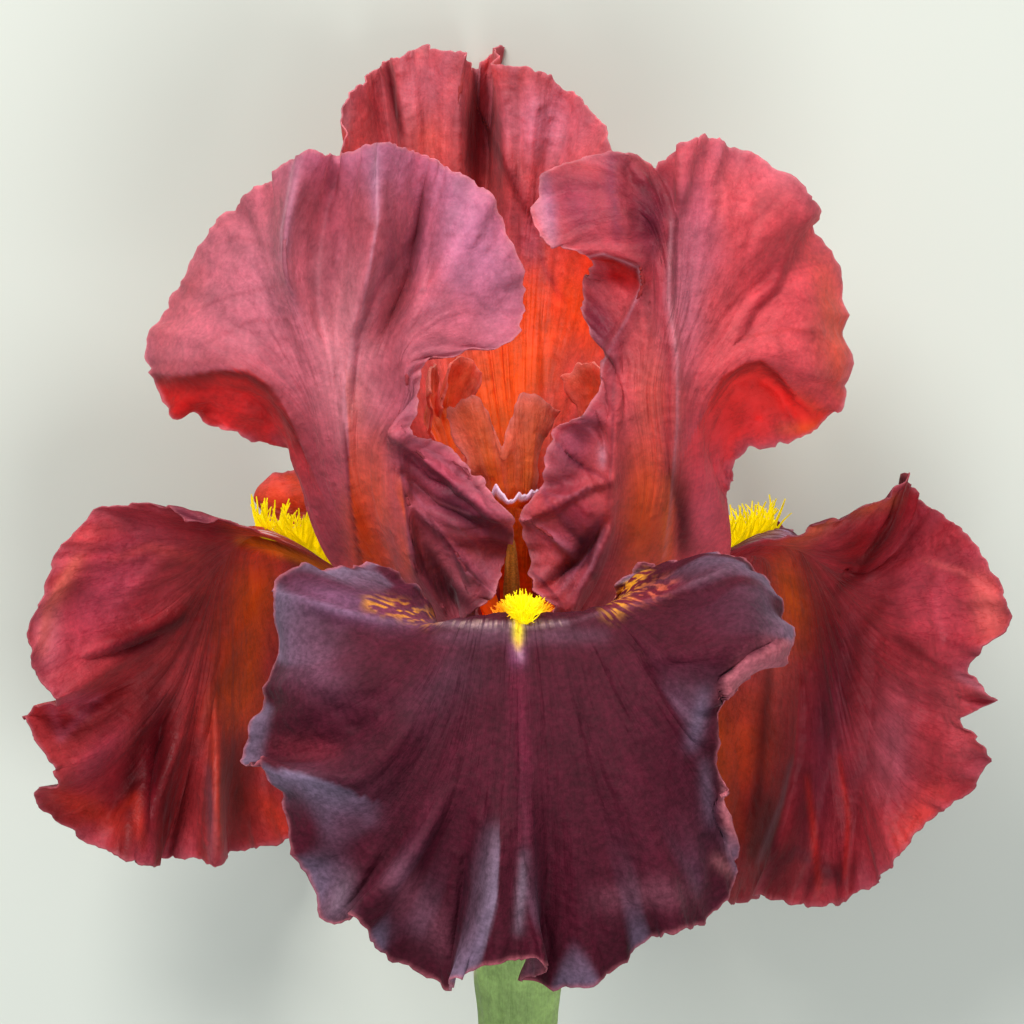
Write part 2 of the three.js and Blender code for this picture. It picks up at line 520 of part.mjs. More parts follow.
// The two spathes sheathe the stem and the ovary: blades wrapped round the axis, each with its tip on its
// own side. They widen from the bottom to the tip, more so above the waist.
const SPATHES = [
  { name: "spathe_outer", around: 0, tip: -46, margin: -63, foot: 5.4, waist: 5.9, mouth: 8.4 },
  { name: "spathe_inner", around: Math.PI, tip: -48, margin: -61, foot: 4.3, waist: 4.9, mouth: 6.2 },
];
const SPATHE = { bottom: -80, waist: -66, rows: 6, columns: 10, point: 1.3 };
SPATHE.wrap = THREE.MathUtils.degToRad(125);
for (const { name, around, tip, margin, foot, waist, mouth } of SPATHES) {
  const grid = [];
  for (let row = 0; row <= SPATHE.rows; row++) {
    grid.push([]);
    for (let column = 0; column <= SPATHE.columns; column++) {
      const across = 1 - (2 * column) / SPATHE.columns;
      const top = margin + (tip - margin) * (1 - Math.abs(across)) ** SPATHE.point;
      const height = THREE.MathUtils.lerp(SPATHE.bottom, top, row / SPATHE.rows);
      const radius = height > SPATHE.waist
        ? THREE.MathUtils.mapLinear(height, SPATHE.waist, tip, waist, mouth)
        : THREE.MathUtils.mapLinear(height, SPATHE.bottom, SPATHE.waist, foot, waist);
      grid[row].push(polar(around + across * SPATHE.wrap, radius, height));
    }
  }
  addMesh(name, bladeAbout(grid, BLADE), 0x8cab5c);
}

// The three style arms: each rises from the middle of the flower, arches over a fall and splits into two
// crests, with the stigma's lip as a short ledge below them. The rear arms stand a little closer in.
const STYLE_ARM = {
  neck: [[-3, 9, 12], [-2, 10, 13], [-0.5, 10.5, 14], [1, 10, 13], [2, 9, 12]],
  middle: [[-4.5, 18, 15.5], [-3, 19.5, 17], [-1, 20.5, 18], [1, 19.5, 17], [2.5, 18, 15.5]],
  ribs: [
    [[-8, 26, 17.5], [-11.5, 32, 16.5]],
    [[-6.5, 28.5, 19], [-10, 34.5, 17.5]],
    [[-5, 29.5, 20], [-6.5, 36, 18]],
    [[-3, 27.5, 20], [-4, 31.5, 19]],
    [[-2, 25.5, 20], [-2.5, 28.5, 19.5]],
    [[-1, 28, 20], [-1.5, 31.5, 19]],
    [[0.5, 29.5, 19.5], [0.5, 36, 18]],
    [[2.5, 29, 18.5], [3.5, 35.5, 17]],
    [[4, 28, 16.5], [6.5, 32.5, 14.5]],
  ],
};
const STYLE_SEAT = { ring: 1.9, angle: THREE.MathUtils.degToRad(38) };
const STYLE_CLAW = { ...STYLE_SEAT, radius: 5, height: -6, halfWidth: 2.4, bow: 0.8, rise: 0 };
const STYLE_GRID = { rows: 8, clawRows: 4, columnsPerRib: 1 };
const LIP = { row: 4, first: 2, last: 6, depth: 2.4, rise: 0.9, root: 0.15, notch: 0.45 };
const FILAMENT = { radius: 0.6, route: [[0, TUBE_TOP + SEAT, 3.6], [0, -8, 8.5], [0, 0, 11]] };
const ANTHER = { long: 10.5, wide: 1.2, thick: 0.8, height: 6.2, out: 15 };
ANTHER.slope = THREE.MathUtils.degToRad(32);
const STYLE_ARMS = [
  { name: "front", around: 0, lean: 1 },
  { name: "left", around: -THIRD, lean: 0.8 },
  { name: "right", around: THIRD, lean: 0.8 },
];
const UP = new THREE.Vector3(0, 1, 0);
for (const { name, around, lean } of STYLE_ARMS) {
  const place = (point) => point.multiply(new THREE.Vector3(1, 1, lean)).applyAxisAngle(UP, around);
  const arm = petalSurface({ around: 0, turn: 1, shape: STYLE_ARM }, STYLE_CLAW, STYLE_GRID);
  const edge = arm[LIP.row].slice(LIP.first, LIP.last + 1);
  const ledge = [-LIP.root, LIP.depth].map((out, row) =>
    edge.map((point, column) => {
      const depth = out - row * (column % 2) * LIP.notch;
      return point.clone().add(new THREE.Vector3(0, (LIP.rise * out) / LIP.depth, depth));
    }),
  );
  [...arm.flat(), ...ledge.flat()].forEach(place);
  addMesh("style_arm_" + name, fuse([bladeAbout(arm, BLADE), bladeAbout(ledge, BLADE)]), 0xb5542c);

  // Its stamen: a filament from the tube's rim and the long anther on it, below the arm.
  const route = FILAMENT.route.map((point) => place(new THREE.Vector3(...point)));
  addMesh("filament_" + name, rodAlong(route, FILAMENT.radius, 6, 5), 0xe0b080);
  const anther = new THREE.CapsuleGeometry(1, ANTHER.long, 3, 8);
  anther.scale(ANTHER.wide, 1, ANTHER.thick);
  anther.rotateX(ANTHER.slope);
  anther.translate(0, ANTHER.height, ANTHER.out);
  const spot = anther.getAttribute("position");
  for (let index = 0; index < spot.count; index++) {
    const point = place(new THREE.Vector3().fromBufferAttribute(spot, index));
    spot.setXYZ(index, point.x, point.y, point.z);
  }
  addMesh("anther_" + name, anther, 0xd98a3c);
}

// The beards: on the middle of each fall a low pad that follows the blade, drawn up into a hair at every
// other point of its top, both ways.
const BEARD = { start: 2.1, end: 4.4, rows: 16, columns: 8, width: 6.8, seat: 0.75, rim: 0.6, crown: 1.2 };
const HAIR = { length: 3.6, uneven: 1.2, lean: 1.1, fan: 3 };
let draw = 1;
for (const { name, surface } of FALLS) {
  const sheet = [];
  for (let row = 0; row <= BEARD.rows; row++) {
    // The line across the blade at this share of the beard's length, which may lie between two rows.
    const place = BEARD.start + ((BEARD.end - BEARD.start) * row) / BEARD.rows;
    const [low, share] = [Math.floor(place), place % 1];
    const line = surface[low].map((point, column) => point.clone().lerp(surface[low + 1][column], share));
    const across = new THREE.CatmullRomCurve3(line);
    const lengths = across.getLengths(LENGTH_STEPS);
    sheet.push([]);
    for (let column = 0; column <= BEARD.columns; column++) {
      const aside = (column / BEARD.columns - 0.5) * BEARD.width;
      sheet[row].push(across.getPointAt((lengths[LENGTH_STEPS / 2] + aside) / lengths[LENGTH_STEPS]));
    }
  }
  if (normalsOf(sheet)[1][1].y < 0) sheet.forEach((line) => line.reverse());
  const normals = normalsOf(sheet);
  const foot = BLADE / 2 + BEARD.seat;
  const under = sheet.map((line, row) =>
    line.map((point, column) => point.clone().addScaledVector(normals[row][column], foot)),
  );
  const random = () => THREE.MathUtils.seededRandom(draw++) - 0.5;
  const top = under.map((line, row) =>
    line.map((point, column) => {
      const normal = normals[row][BEARD.columns / 2];
      const crown = BEARD.rim + BEARD.crown * Math.sin((Math.PI * column) / BEARD.columns);
      const raised = point.clone().addScaledVector(normal, crown);
      if (row % 2 === 0 || column % 2 === 0) return raised;
      const lean = new THREE.Vector3(random(), 0, random()).multiplyScalar(HAIR.lean);
      const aside = line[BEARD.columns].clone().sub(line[0]).setLength(column / BEARD.columns - 0.5);
      lean.addScaledVector(aside, HAIR.fan);
      return raised.addScaledVector(normal, HAIR.length + HAIR.uneven * random()).add(lean);
    }),
  );
  addMesh("beard_" + name, solidBetween(top, under), 0xf5c018, 0.9);
}

// The flower is set down with the middle of its bounding box on the z axis and its lowest points on z = 0.
const box = new THREE.Box3().setFromObject(flower);
const middle = box.getCenter(new THREE.Vector3());
flower.position.set(-middle.x, -middle.y, -box.min.z);

export default flower;
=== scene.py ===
"""A tall bearded iris flower, cut and laid on its back, seen from above as in the photograph."""

import math

import bpy
import numpy as np
from mathutils import Matrix, Vector


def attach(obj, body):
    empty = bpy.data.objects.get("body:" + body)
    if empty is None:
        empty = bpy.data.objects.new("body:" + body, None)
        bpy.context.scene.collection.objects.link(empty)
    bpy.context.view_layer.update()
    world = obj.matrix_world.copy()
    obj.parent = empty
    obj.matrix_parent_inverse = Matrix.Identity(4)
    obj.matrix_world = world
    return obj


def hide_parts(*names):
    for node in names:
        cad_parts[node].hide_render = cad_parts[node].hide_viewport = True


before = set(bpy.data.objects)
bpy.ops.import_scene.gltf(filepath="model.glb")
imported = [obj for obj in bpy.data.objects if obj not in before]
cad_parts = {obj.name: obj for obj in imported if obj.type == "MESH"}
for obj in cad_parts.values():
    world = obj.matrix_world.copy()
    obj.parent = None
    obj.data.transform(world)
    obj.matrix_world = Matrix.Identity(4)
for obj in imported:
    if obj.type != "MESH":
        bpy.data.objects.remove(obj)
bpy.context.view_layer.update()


# ---------------------------------------------------------------- camera
# The flower was photographed with a long lens from 12 degrees above the level of its falls. Laid on its
# back, it is seen from almost straight above. All places below are millimetres from the flower's axis.
AXIS_PLACE = np.array([0.7246, 18.5448, 58.0])  # of the axis point y = 0 in the part's frame
LOOK_DOWN = math.radians(12)
CAMERA_DISTANCE = 1500
PICTURE_WIDTH = 158.7  # at the axis
PICTURE_MIDDLE = (-0.93, 13.64)  # right and up from the axis point
SENSOR = 36
FARTHEST_SEEN = 20  # in metres


def placed(points):
    """Points round the flower's axis, in millimetres, as metres in the part's frame."""
    return (np.asarray(points, float) + AXIS_PLACE) / 1000


right = np.array([1.0, 0, 0])
up = np.array([0, math.cos(LOOK_DOWN), -math.sin(LOOK_DOWN)])
back = np.array([0, math.sin(LOOK_DOWN), math.cos(LOOK_DOWN)])
stand = placed(PICTURE_MIDDLE[0] * right + PICTURE_MIDDLE[1] * up + CAMERA_DISTANCE * back)
camera_data = bpy.data.cameras.new("camera")
camera_data.sensor_width = SENSOR
camera_data.lens = SENSOR * CAMERA_DISTANCE / PICTURE_WIDTH
camera_data.clip_end = FARTHEST_SEEN
camera = bpy.data.objects.new("camera", camera_data)
camera.matrix_world = Matrix([[right[k], up[k], back[k], stand[k]] for k in range(3)] + [[0, 0, 0, 1]])
bpy.context.scene.collection.objects.link(camera)
bpy.context.scene.camera = camera


# ---------------------------------------------------------------- light and floor
# Soft daylight: a broad light from beyond the tips of the standards, a low one behind them that shines
# through the petals, a weak one from the stem's side and an even sky. The floor is plain and pale.
AIM = Vector((0, 0.02, 0.05))
LIGHTS = [
    # name, from (m), size (m), watts, colour
    ("sky_light", (-0.45, 1.1, 0.85), 0.6, 21, (1.0, 0.98, 0.97)),
    ("glow_light", (0.45, 1.0, 0.22), 0.5, 6, (1.0, 0.93, 0.86)),
    ("fill_light", (0.3, -0.4, 1.3), 0.8, 8, (0.95, 0.97, 1.0)),
]
for name, place, size, watts, colour in LIGHTS:
    light_data = bpy.data.lights.new(name, "AREA")
    light_data.shape = "DISK"
    light_data.size = size
    light_data.energy = watts
    light_data.color = colour
    light = bpy.data.objects.new(name, light_data)
    light.location = place
    light.rotation_euler = (AIM - Vector(place)).to_track_quat("-Z", "Y").to_euler()
    bpy.context.scene.collection.objects.link(light)
SKY_COLOUR, SKY_STRENGTH = (0.86, 0.92, 1.0, 1), 0.4
world = bpy.data.worlds.new("even_sky")
world.use_nodes = True
world.node_tree.nodes["Background"].inputs["Color"].default_value = SKY_COLOUR
world.node_tree.nodes["Background"].inputs["Strength"].default_value = SKY_STRENGTH
bpy.context.scene.world = world
bpy.context.scene.view_settings.view_transform = "Standard"

FLOOR_HALF = 3.0
FLOOR_COLOUR, FLOOR_ROUGHNESS = (0.60, 0.63, 0.56, 1), 0.9
floor_mesh = bpy.data.meshes.new("floor")
corners = [(-FLOOR_HALF, -FLOOR_HALF, 0), (FLOOR_HALF, -FLOOR_HALF, 0)]
corners += [(FLOOR_HALF, FLOOR_HALF, 0), (-FLOOR_HALF, FLOOR_HALF, 0)]
floor_mesh.from_pydata(corners, [], [(0, 1, 2, 3)])
floor = bpy.data.objects.new("floor", floor_mesh)
bpy.context.scene.collection.objects.link(floor)
floor_material = bpy.data.materials.new("pale_floor")
floor_material.use_nodes = True
floor_shader = floor_material.node_tree.nodes["Principled BSDF"]
floor_shader.inputs["Base Color"].default_value = FLOOR_COLOUR
floor_shader.inputs["Roughness"].default_value = FLOOR_ROUGHNESS
floor_mesh.materials.append(floor_material)


# ---------------------------------------------------------------- standards
# The three upright petals: thin living blades on narrow claws, each with a stiff midrib and a ruffled,
# finely crimped margin. Their points are those of the solid blades: points across the neck and across the
# middle of the blade, and the outer part of each rib, which ends on the margin.
STANDARD_LEFT = {
    "neck": [
        (-28, 5, 2), (-26, 16, 12), (-23, 17.5, 13.5), (-18.5, 12, 17), (-6, -4.5, 12),
    ],
    "middle": [
        (-33, 16, 5), (-33, 26.5, 11.5), (-32, 34.5, 15), (-30.5, 36.5, 18), (-28, 36.5, 18),
        (-24, 37, 18.5), (-21.5, 36, 21), (-20.5, 30.5, 22), (-18, 21.5, 20), (-12.5, 11, 17), (-7, -2, 15),
    ],
    "ribs": [
        [(-34, 26.5, 4.5)], [(-35, 24.5, 7), (-36, 27, 5.5)], [(-36, 29.5, 10), (-39, 25, 5)],
        [(-38.5, 35, 12), (-45, 28.5, 5)], [(-42.5, 38.5, 14.5), (-52.5, 30.5, 5)],
        [(-45, 43, 13.5), (-58, 39.5, 1)], [(-41, 48.5, 13.5), (-52, 49.5, -0.5)],
        [(-39, 54, 14), (-46.5, 59, 1.5)], [(-37, 55.5, 15), (-40.5, 65.5, 4.5)],
        [(-36, 56.5, 17.5), (-36.5, 69, 10)], [(-35.5, 57.5, 20.5), (-32.5, 73, 14)],
        [(-30.5, 54.5, 13), (-27, 71, 7.5)], [(-23, 56.5, 23), (-21.5, 75, 16)],
        [(-20, 55.5, 20), (-17.5, 74, 14)], [(-17, 53, 12.5), (-13.5, 71.5, 10.5)],
        [(-13.5, 56, 17.5), (-10.5, 70, 12.5)], [(-10.5, 56.5, 20.5), (-4.5, 67, 15.5)],
        [(-11, 49, 22.5), (1, 52, 16.5)], [(-15.5, 45, 23), (-1, 45, 22)],
        [(-20, 40, 23), (-14, 42.5, 23.5)], [(-21, 35.5, 23), (-18.5, 37, 23)],
        [(-20, 30, 22.5), (-17.5, 31, 22)], [(-15.5, 25.5, 20), (-11, 28.5, 19.5)],
        [(-10.5, 21.5, 20), (-6, 23.5, 20.5)], [(-8, 17, 22), (-1, 17.5, 23)],
        [(-7.5, 12, 18), (-1.5, 10.5, 17)], [(-7.5, 7.5, 19), (-3, 6.5, 20)],
        [(-7.5, 4, 19.5), (-4.5, 4, 20.5)], [(-7, 0, 17.5), (-6.5, 1.5, 20)],
    ],
}
STANDARD_RIGHT = {
    "neck": [
        (6, -4.5, 12), (18.5, 16, 15), (21.5, 17.5, 14.5), (24.5, 16, 11), (33.5, 6.5, -1.5),
    ],
    "middle": [
        (6.5, -2, 15), (13, 10.5, 19), (14.5, 25, 21.5), (16.5, 34, 20.5), (18.5, 37, 21), (20, 37.5, 20.5),
        (21, 37.5, 20.5), (21.5, 37.5, 20.5), (23, 37.5, 20.5), (26, 36.5, 18), (28.5, 33, 15.5),
        (29, 26, 10), (32.5, 15.5, 2),
    ],
    "ribs": [
        [(6.5, 0, 17.5), (6.5, 1.5, 20)], [(7.5, 4, 19.5), (4.5, 4, 20.5)], [(7.5, 8, 19), (2, 7.5, 20)],
        [(9.5, 12, 20), (1.5, 11.5, 18)], [(10, 17, 21), (0, 17.5, 20)], [(11, 23, 20.5), (3.5, 22, 19)],
        [(12, 29, 21.5), (5.5, 31, 20)], [(13, 33, 21.5), (9.5, 34, 22.5)],
        [(15, 36.5, 19), (13, 38.5, 16.5)], [(15.5, 40, 18), (12, 44, 15)], [(16, 43, 17.5), (10, 49, 13)],
        [(16.5, 44.5, 17), (13.5, 49, 14), (10, 52.5, 11.5)],
        [(18.5, 46, 18), (16.5, 52.5, 16.5), (11.5, 55.5, 14.5)],
        [(20.5, 48, 19.5), (19, 56, 18), (11, 57.5, 17.5)], [(22, 50, 19), (19.5, 60, 18), (8.5, 58.5, 19)],
        [(22.5, 51, 19), (19, 63, 18.5), (5.5, 59.5, 20)],
        [(23, 51.5, 18.5), (18.5, 65, 18), (2.5, 62.5, 16.5)],
        [(23, 52, 18.5), (18, 66, 16.5), (3.5, 68, 13)],
        [(23.5, 52, 17.5), (20.5, 65.5, 14.5), (9.5, 71.5, 11.5)],
        [(23.5, 52.5, 17.5), (21.5, 65, 13), (17, 72, 10.5)],
        [(23.5, 52, 17.5), (23, 63, 11), (20.5, 69.5, 8)], [(24, 51.5, 17.5), (24.5, 64, 15), (25, 74, 13)],
        [(24.5, 51, 19), (26, 63.5, 16), (28, 75, 11.5)], [(26, 51, 19), (28.5, 62.5, 14.5), (31, 73, 7)],
        [(28.5, 50.5, 17), (33, 62, 12.5), (36.5, 70.5, 4.5)],
        [(31, 50, 15), (38.5, 60.5, 11.5), (45.5, 64, 5)],
        [(33, 48, 12.5), (41, 54.5, 6), (45.5, 59, -2.5)],
        [(35.5, 46, 12.5), (43, 50.5, 7.5), (49.5, 53, -2)],
        [(36, 43, 14.5), (44.5, 44.5, 9), (51, 43, -1)],
        [(36, 40, 15), (44.5, 37.5, 10.5), (50.5, 35, 1.5)],
        [(35.5, 39.5, 15), (43.5, 35.5, 7), (49.5, 30.5, 2.5)],
        [(33.5, 36.5, 12.5), (40.5, 32, 5.5), (44, 26.5, 2.5)],
        [(32, 33, 10.5), (36.5, 29.5, 6), (38, 25, 4)], [(31, 28, 8.5), (33.5, 25, 5)],
        [(31, 20, 5), (32.5, 22.5, 4.5)], [(32.5, 17.5, 2.5), (33, 20, 4)],
    ],
}
STANDARD_BACK = {
    "neck": [
        (-10, 7.5, -10), (-5.5, 11, -15.5), (-1, 12, -18), (2.5, 12, -17), (7.5, 7.5, -9),
    ],
    "middle": [
        (-17, 22.5, -14), (-13, 25.5, -23), (-10, 26.5, -26), (-6, 27.5, -28.5), (-3, 27, -30.5),
        (-1, 27, -30.5), (2, 27.5, -29.5), (6.5, 26, -25), (11, 21, -13.5),
    ],
    "ribs": [
        [(-22.5, 38.5, -20.5), (-26.5, 51.5, -27.5), (-28.5, 61, -33.5)],
        [(-21, 43.5, -29.5), (-26, 58, -37), (-28, 64.5, -36)],
        [(-19.5, 45.5, -35), (-24, 62, -42), (-26, 72.5, -40)],
        [(-16.5, 46.5, -39.5), (-20, 62.5, -48), (-22, 75.5, -50)],
        [(-14.5, 46.5, -39.5), (-17.5, 63.5, -43), (-19, 78, -44)],
        [(-11.5, 47.5, -41), (-13.5, 63, -44), (-14, 79, -47.5)],
        [(-9, 47.5, -41), (-9.5, 63.5, -41), (-8, 78.5, -41.5)],
        [(-6.5, 47, -44.5), (-6.5, 61.5, -52), (-6.5, 74.5, -55.5)],
        [(-4.5, 47, -44.5), (-4, 61, -55), (-3.5, 71, -60), (-2.5, 77.5, -60.5)],
        [(-2, 47.5, -42), (-1.5, 58.5, -42), (-3, 76.5, -43)],
        [(0.5, 47.5, -41), (1, 59, -41), (2.5, 76.5, -42)],
        [(3, 46.5, -39.5), (4.5, 58.5, -42), (7.5, 73, -43)], [(6, 43.5, -36), (8, 58, -37), (13, 68, -35)],
        [(10, 40, -30), (13, 52.5, -31.5), (15, 62, -31.5)],
        [(13, 36.5, -24), (15.5, 47, -27.5), (17.5, 53, -28.5)],
        [(14.5, 31, -19), (16.5, 40, -23), (18, 44, -24.5)],
    ],
}

BLADE = 0.7  # thickness of the solid blades, for the room that a fold needs
TABLE = -58.0  # height of the table
SEAT_HEIGHT = -17.5  # of the petals' feet, just above the rim of the tube
PRESSED_HEIGHT = -57.75  # of a petal's middle surface where the table presses it flat
CURVE_STEPS = 240
THIRD = 2 * math.pi / 3
EASING_PASSES = 30
OPENING_PASSES = 40
OPENING_STEP = 0.25
TIGHTEST_FACE = 0.15  # least share of a triangle left on the inside of a fold
TIGHTEST_PLEAT = 3 * BLADE  # spacing of points below which pleats are eased out
NO_STEP = 1e-4  # steps of a curve shorter than this count as none


def smooth_curve(points, shares):
    """The centripetal Catmull-Rom curve through points, at shares of the number of its spans."""
    points = np.asarray(points, float)
    spans = len(points) - 1
    place = np.clip(np.asarray(shares, float), 0, 1) * spans
    first = np.minimum(place.astype(int), spans - 1)
    share = (place - first).reshape((-1,) + (1,) * (points.ndim - 1))
    ends = np.concatenate([[2 * points[0] - points[1]], points, [2 * points[-1] - points[-2]]])
    before, start, end, after = (ends[first + k] for k in range(4))
    steps = [np.sum((b - a) ** 2, -1, keepdims=True) ** 0.25 for a, b in
             ((before, start), (start, end), (end, after))]
    middle_step = np.where(steps[1] < NO_STEP, 1.0, steps[1])
    first_step, last_step = (np.where(step < NO_STEP, middle_step, step) for step in steps[::2])
    leave = (start - before) / first_step - (end - before) / (first_step + middle_step)
    leave = (leave + (end - start) / middle_step) * middle_step
    arrive = (end - start) / middle_step - (after - start) / (middle_step + last_step)
    arrive = (arrive + (after - end) / last_step) * middle_step
    return (start + leave * share + (3 * (end - start) - 2 * leave - arrive) * share**2
            + (2 * (start - end) + leave + arrive) * share**3)


def lengths_along(points):
    """Distance from the first point of a line of points, or of each column of a grid."""
    steps = np.linalg.norm(np.diff(points, axis=0), axis=-1)
    return np.concatenate([np.zeros_like(steps[:1]), np.cumsum(steps, axis=0)])


def ring_point(around, radius, height):
    """A point at an angle round the axis from the front, a radius and a height."""
    return np.array([radius * math.sin(around), height, radius * math.cos(around)])


def triangle_normals(grid):
    """Twice the area normals of the two triangles in each cell of a grid."""
    low, high = grid[:-1], grid[1:]
    first = np.cross(low[:, 1:] - low[:, :-1], high[:, 1:] - low[:, :-1])
    second = np.cross(high[:, 1:] - low[:, :-1], high[:, :-1] - low[:, :-1])
    return first, second


def unit(vectors):
    """Vectors of the same directions with length 1."""
    return vectors / np.maximum(np.linalg.norm(vectors, axis=-1, keepdims=True), 1e-12)


def grid_normals(grid):
    """The mean normal of the triangles that meet at each point of a grid."""
    first, second = (unit(normals) for normals in triangle_normals(grid))
    total = np.zeros_like(grid)
    total[:-1, :-1] += first + second
    total[:-1, 1:] += first
    total[1:, 1:] += first + second
    total[1:, :-1] += second
    return unit(total)


def blade_grid(around, turn, claw, shape, rows=10, claw_rows=4, per_rib=2):
    """The coarse middle surface of a petal, as the solid blade has it."""
    seat_ring, seat_angle, radius, height, half_width, bow, rise = claw
    outward = ring_point(around, 1, 0)
    aside = turn * np.array([outward[2], 0, -outward[0]])
    ribs, blades = [], []
    for index, outer in enumerate(shape["ribs"]):
        share = index / (len(shape["ribs"]) - 1)
        across = 2 * share - 1
        seat = ring_point(around + turn * across * seat_angle, seat_ring, SEAT_HEIGHT)
        throat = ring_point(around, radius - bow * across**2, height + rise * across**2)
        points = [seat, throat + aside * across * half_width]
        points += [smooth_curve(shape[line], [share])[0] for line in ("neck", "middle")]
        points += [np.array(point, float) for point in outer]
        dense = smooth_curve(points, np.linspace(0, 1, CURVE_STEPS + 1))
        reach = lengths_along(dense)
        blades.append(reach[round(3 / (len(points) - 1) * CURVE_STEPS)] / reach[-1])
        ribs.append((dense, reach))
    grid = []
    for row in range(rows + 1):
        inner = min(1, row / claw_rows)
        outer = max(0, (row - claw_rows) / (rows - claw_rows))
        level = []
        for (dense, reach), blade in zip(ribs, blades):
            at = (inner * blade + outer * (1 - blade)) * reach[-1]
            level.append([np.interp(at, reach, dense[:, k]) for k in range(3)])
        grid.append(smooth_curve(level, np.linspace(0, 1, per_rib * (len(ribs) - 1) + 1)))
    grid = np.array(grid)
    for _ in range(EASING_PASSES):
        ahead, behind, inside = grid[:, 2:], grid[:, :-2], grid[:, 1:-1]
        spacing = np.linalg.norm(inside - behind, axis=-1) + np.linalg.norm(inside - ahead, axis=-1)
        pull = np.maximum(0, 1 - spacing[..., None] / 2 / TIGHTEST_PLEAT) / 2
        grid[:, 1:-1] = inside + pull * ((ahead + behind) / 2 - inside)
    for _ in range(OPENING_PASSES):
        normals = grid_normals(grid)
        tight = np.zeros(grid.shape[:2], bool)
        flat = triangle_normals(grid)
        for side in (BLADE / 2, -BLADE / 2):
            moved = triangle_normals(grid + side * normals)
            for cell, (face, plain) in enumerate(zip(moved, flat)):
                area = np.linalg.norm(plain, axis=-1)
                bad = np.sum(face * unit(plain), -1) <= TIGHTEST_FACE * area
                tight[:-1, :-1] |= bad
                tight[1:, 1:] |= bad
                if cell == 0:
                    tight[:-1, 1:] |= bad
                else:
                    tight[1:, :-1] |= bad
        if not tight.any():
            break
        total = np.zeros_like(grid)
        count = np.zeros(grid.shape[:2] + (1,))
        total[1:] += grid[:-1]
        count[1:] += 1
        total[:-1] += grid[1:]
        count[:-1] += 1
        total[:, 1:] += grid[:, :-1]
        count[:, 1:] += 1
        total[:, :-1] += grid[:, 1:]
        count[:, :-1] += 1
        tight[0] = False
        grid = np.where(tight[..., None], grid + OPENING_STEP * (total / count - grid), grid)
    grid[..., 2] = np.maximum(grid[..., 2], PRESSED_HEIGHT)
    return grid


CUT_ROWS = np.concatenate([np.arange(0, 9, 1 / 10), 10 - np.linspace(1, 0, 14) ** 1.6])
EDGE_THICKNESS, BODY_THICKNESS, THINNING = 0.22, 0.55, 9  # thinning: how far in from the margin
SIDE_RUFFLES_FROM = 0.45  # share of a petal's length above which its side margins ruffle
# Wrinkles along the veins: height, and how often they change across and along a petal. Sharp ones only sink.
WIDE_WRINKLES, SHARP_WRINKLES = (0.5, 22, 3), (0.22, 60, 7)
# At a margin: height, how far in it reaches, and spacing. The bites notch the margin at two spacings.
WAVES, CRIMPS = (1.1, 6.5, 3.1), (0.42, 2.8, 1.2)
BITES, BITE_REACH = ((0.4, 1.5), (0.2, 0.6)), 0.9
LEFT_NOISE, RIGHT_NOISE = 500, 900  # where along its noise each side margin starts
SMOOTH_RIM = 5  # the wrinkles die out this far from the outer margin


def refined(grid, rows, columns):
    """More points on the smooth surface through the points of a grid."""
    down = smooth_curve(grid, rows / (len(grid) - 1))
    return np.moveaxis(smooth_curve(np.moveaxis(down, 1, 0), columns / (grid.shape[1] - 1)), 0, 1)


NOISE_FACTORS = np.array([374761393, 668265263, 2147483647])


def soft_noise(place, seed):
    """Smooth noise from -1 to 1 at places of one to three coordinates, the same every time.

    The large numbers mix the bits of the coordinates of each corner of the cell that a place is in."""
    place = np.asarray(place, float)
    low = np.floor(place).astype(np.int64)
    share = place - low
    share = share * share * (3 - 2 * share)
    total = 0
    for corner in range(2 ** place.shape[-1]):
        step = np.array([corner >> k & 1 for k in range(place.shape[-1])])
        weight = np.prod(np.where(step, share, 1 - share), axis=-1)
        mixed = (low + step) @ NOISE_FACTORS[: place.shape[-1]] + seed * 974711
        mixed = (mixed ^ (mixed >> 13)) * 1274126177 & 0xFFFFFFFF
        mixed = (mixed ^ (mixed >> 15)) * 2246822519 & 0xFFFFFFFF
        total = total + weight * ((mixed >> 8 & 0xFFFF) / 32767.5 - 1)
    return total


def line_noise(along, seed):
    """Smooth noise along a line."""
    return soft_noise(np.asarray(along)[..., None], seed)


def vein_noise(length, breadth, along, across, seed):
    """Noise drawn out along a petal, with so many changes along it and across it."""
    return soft_noise(np.stack(np.broadcast_arrays(breadth * across, length * along), -1), seed)


def ease(low, high, value):
    """From 0 at low to 1 at high, with a soft start and end."""
    share = np.clip((value - low) / (high - low), 0, 1)
    return share * share * (3 - 2 * share)


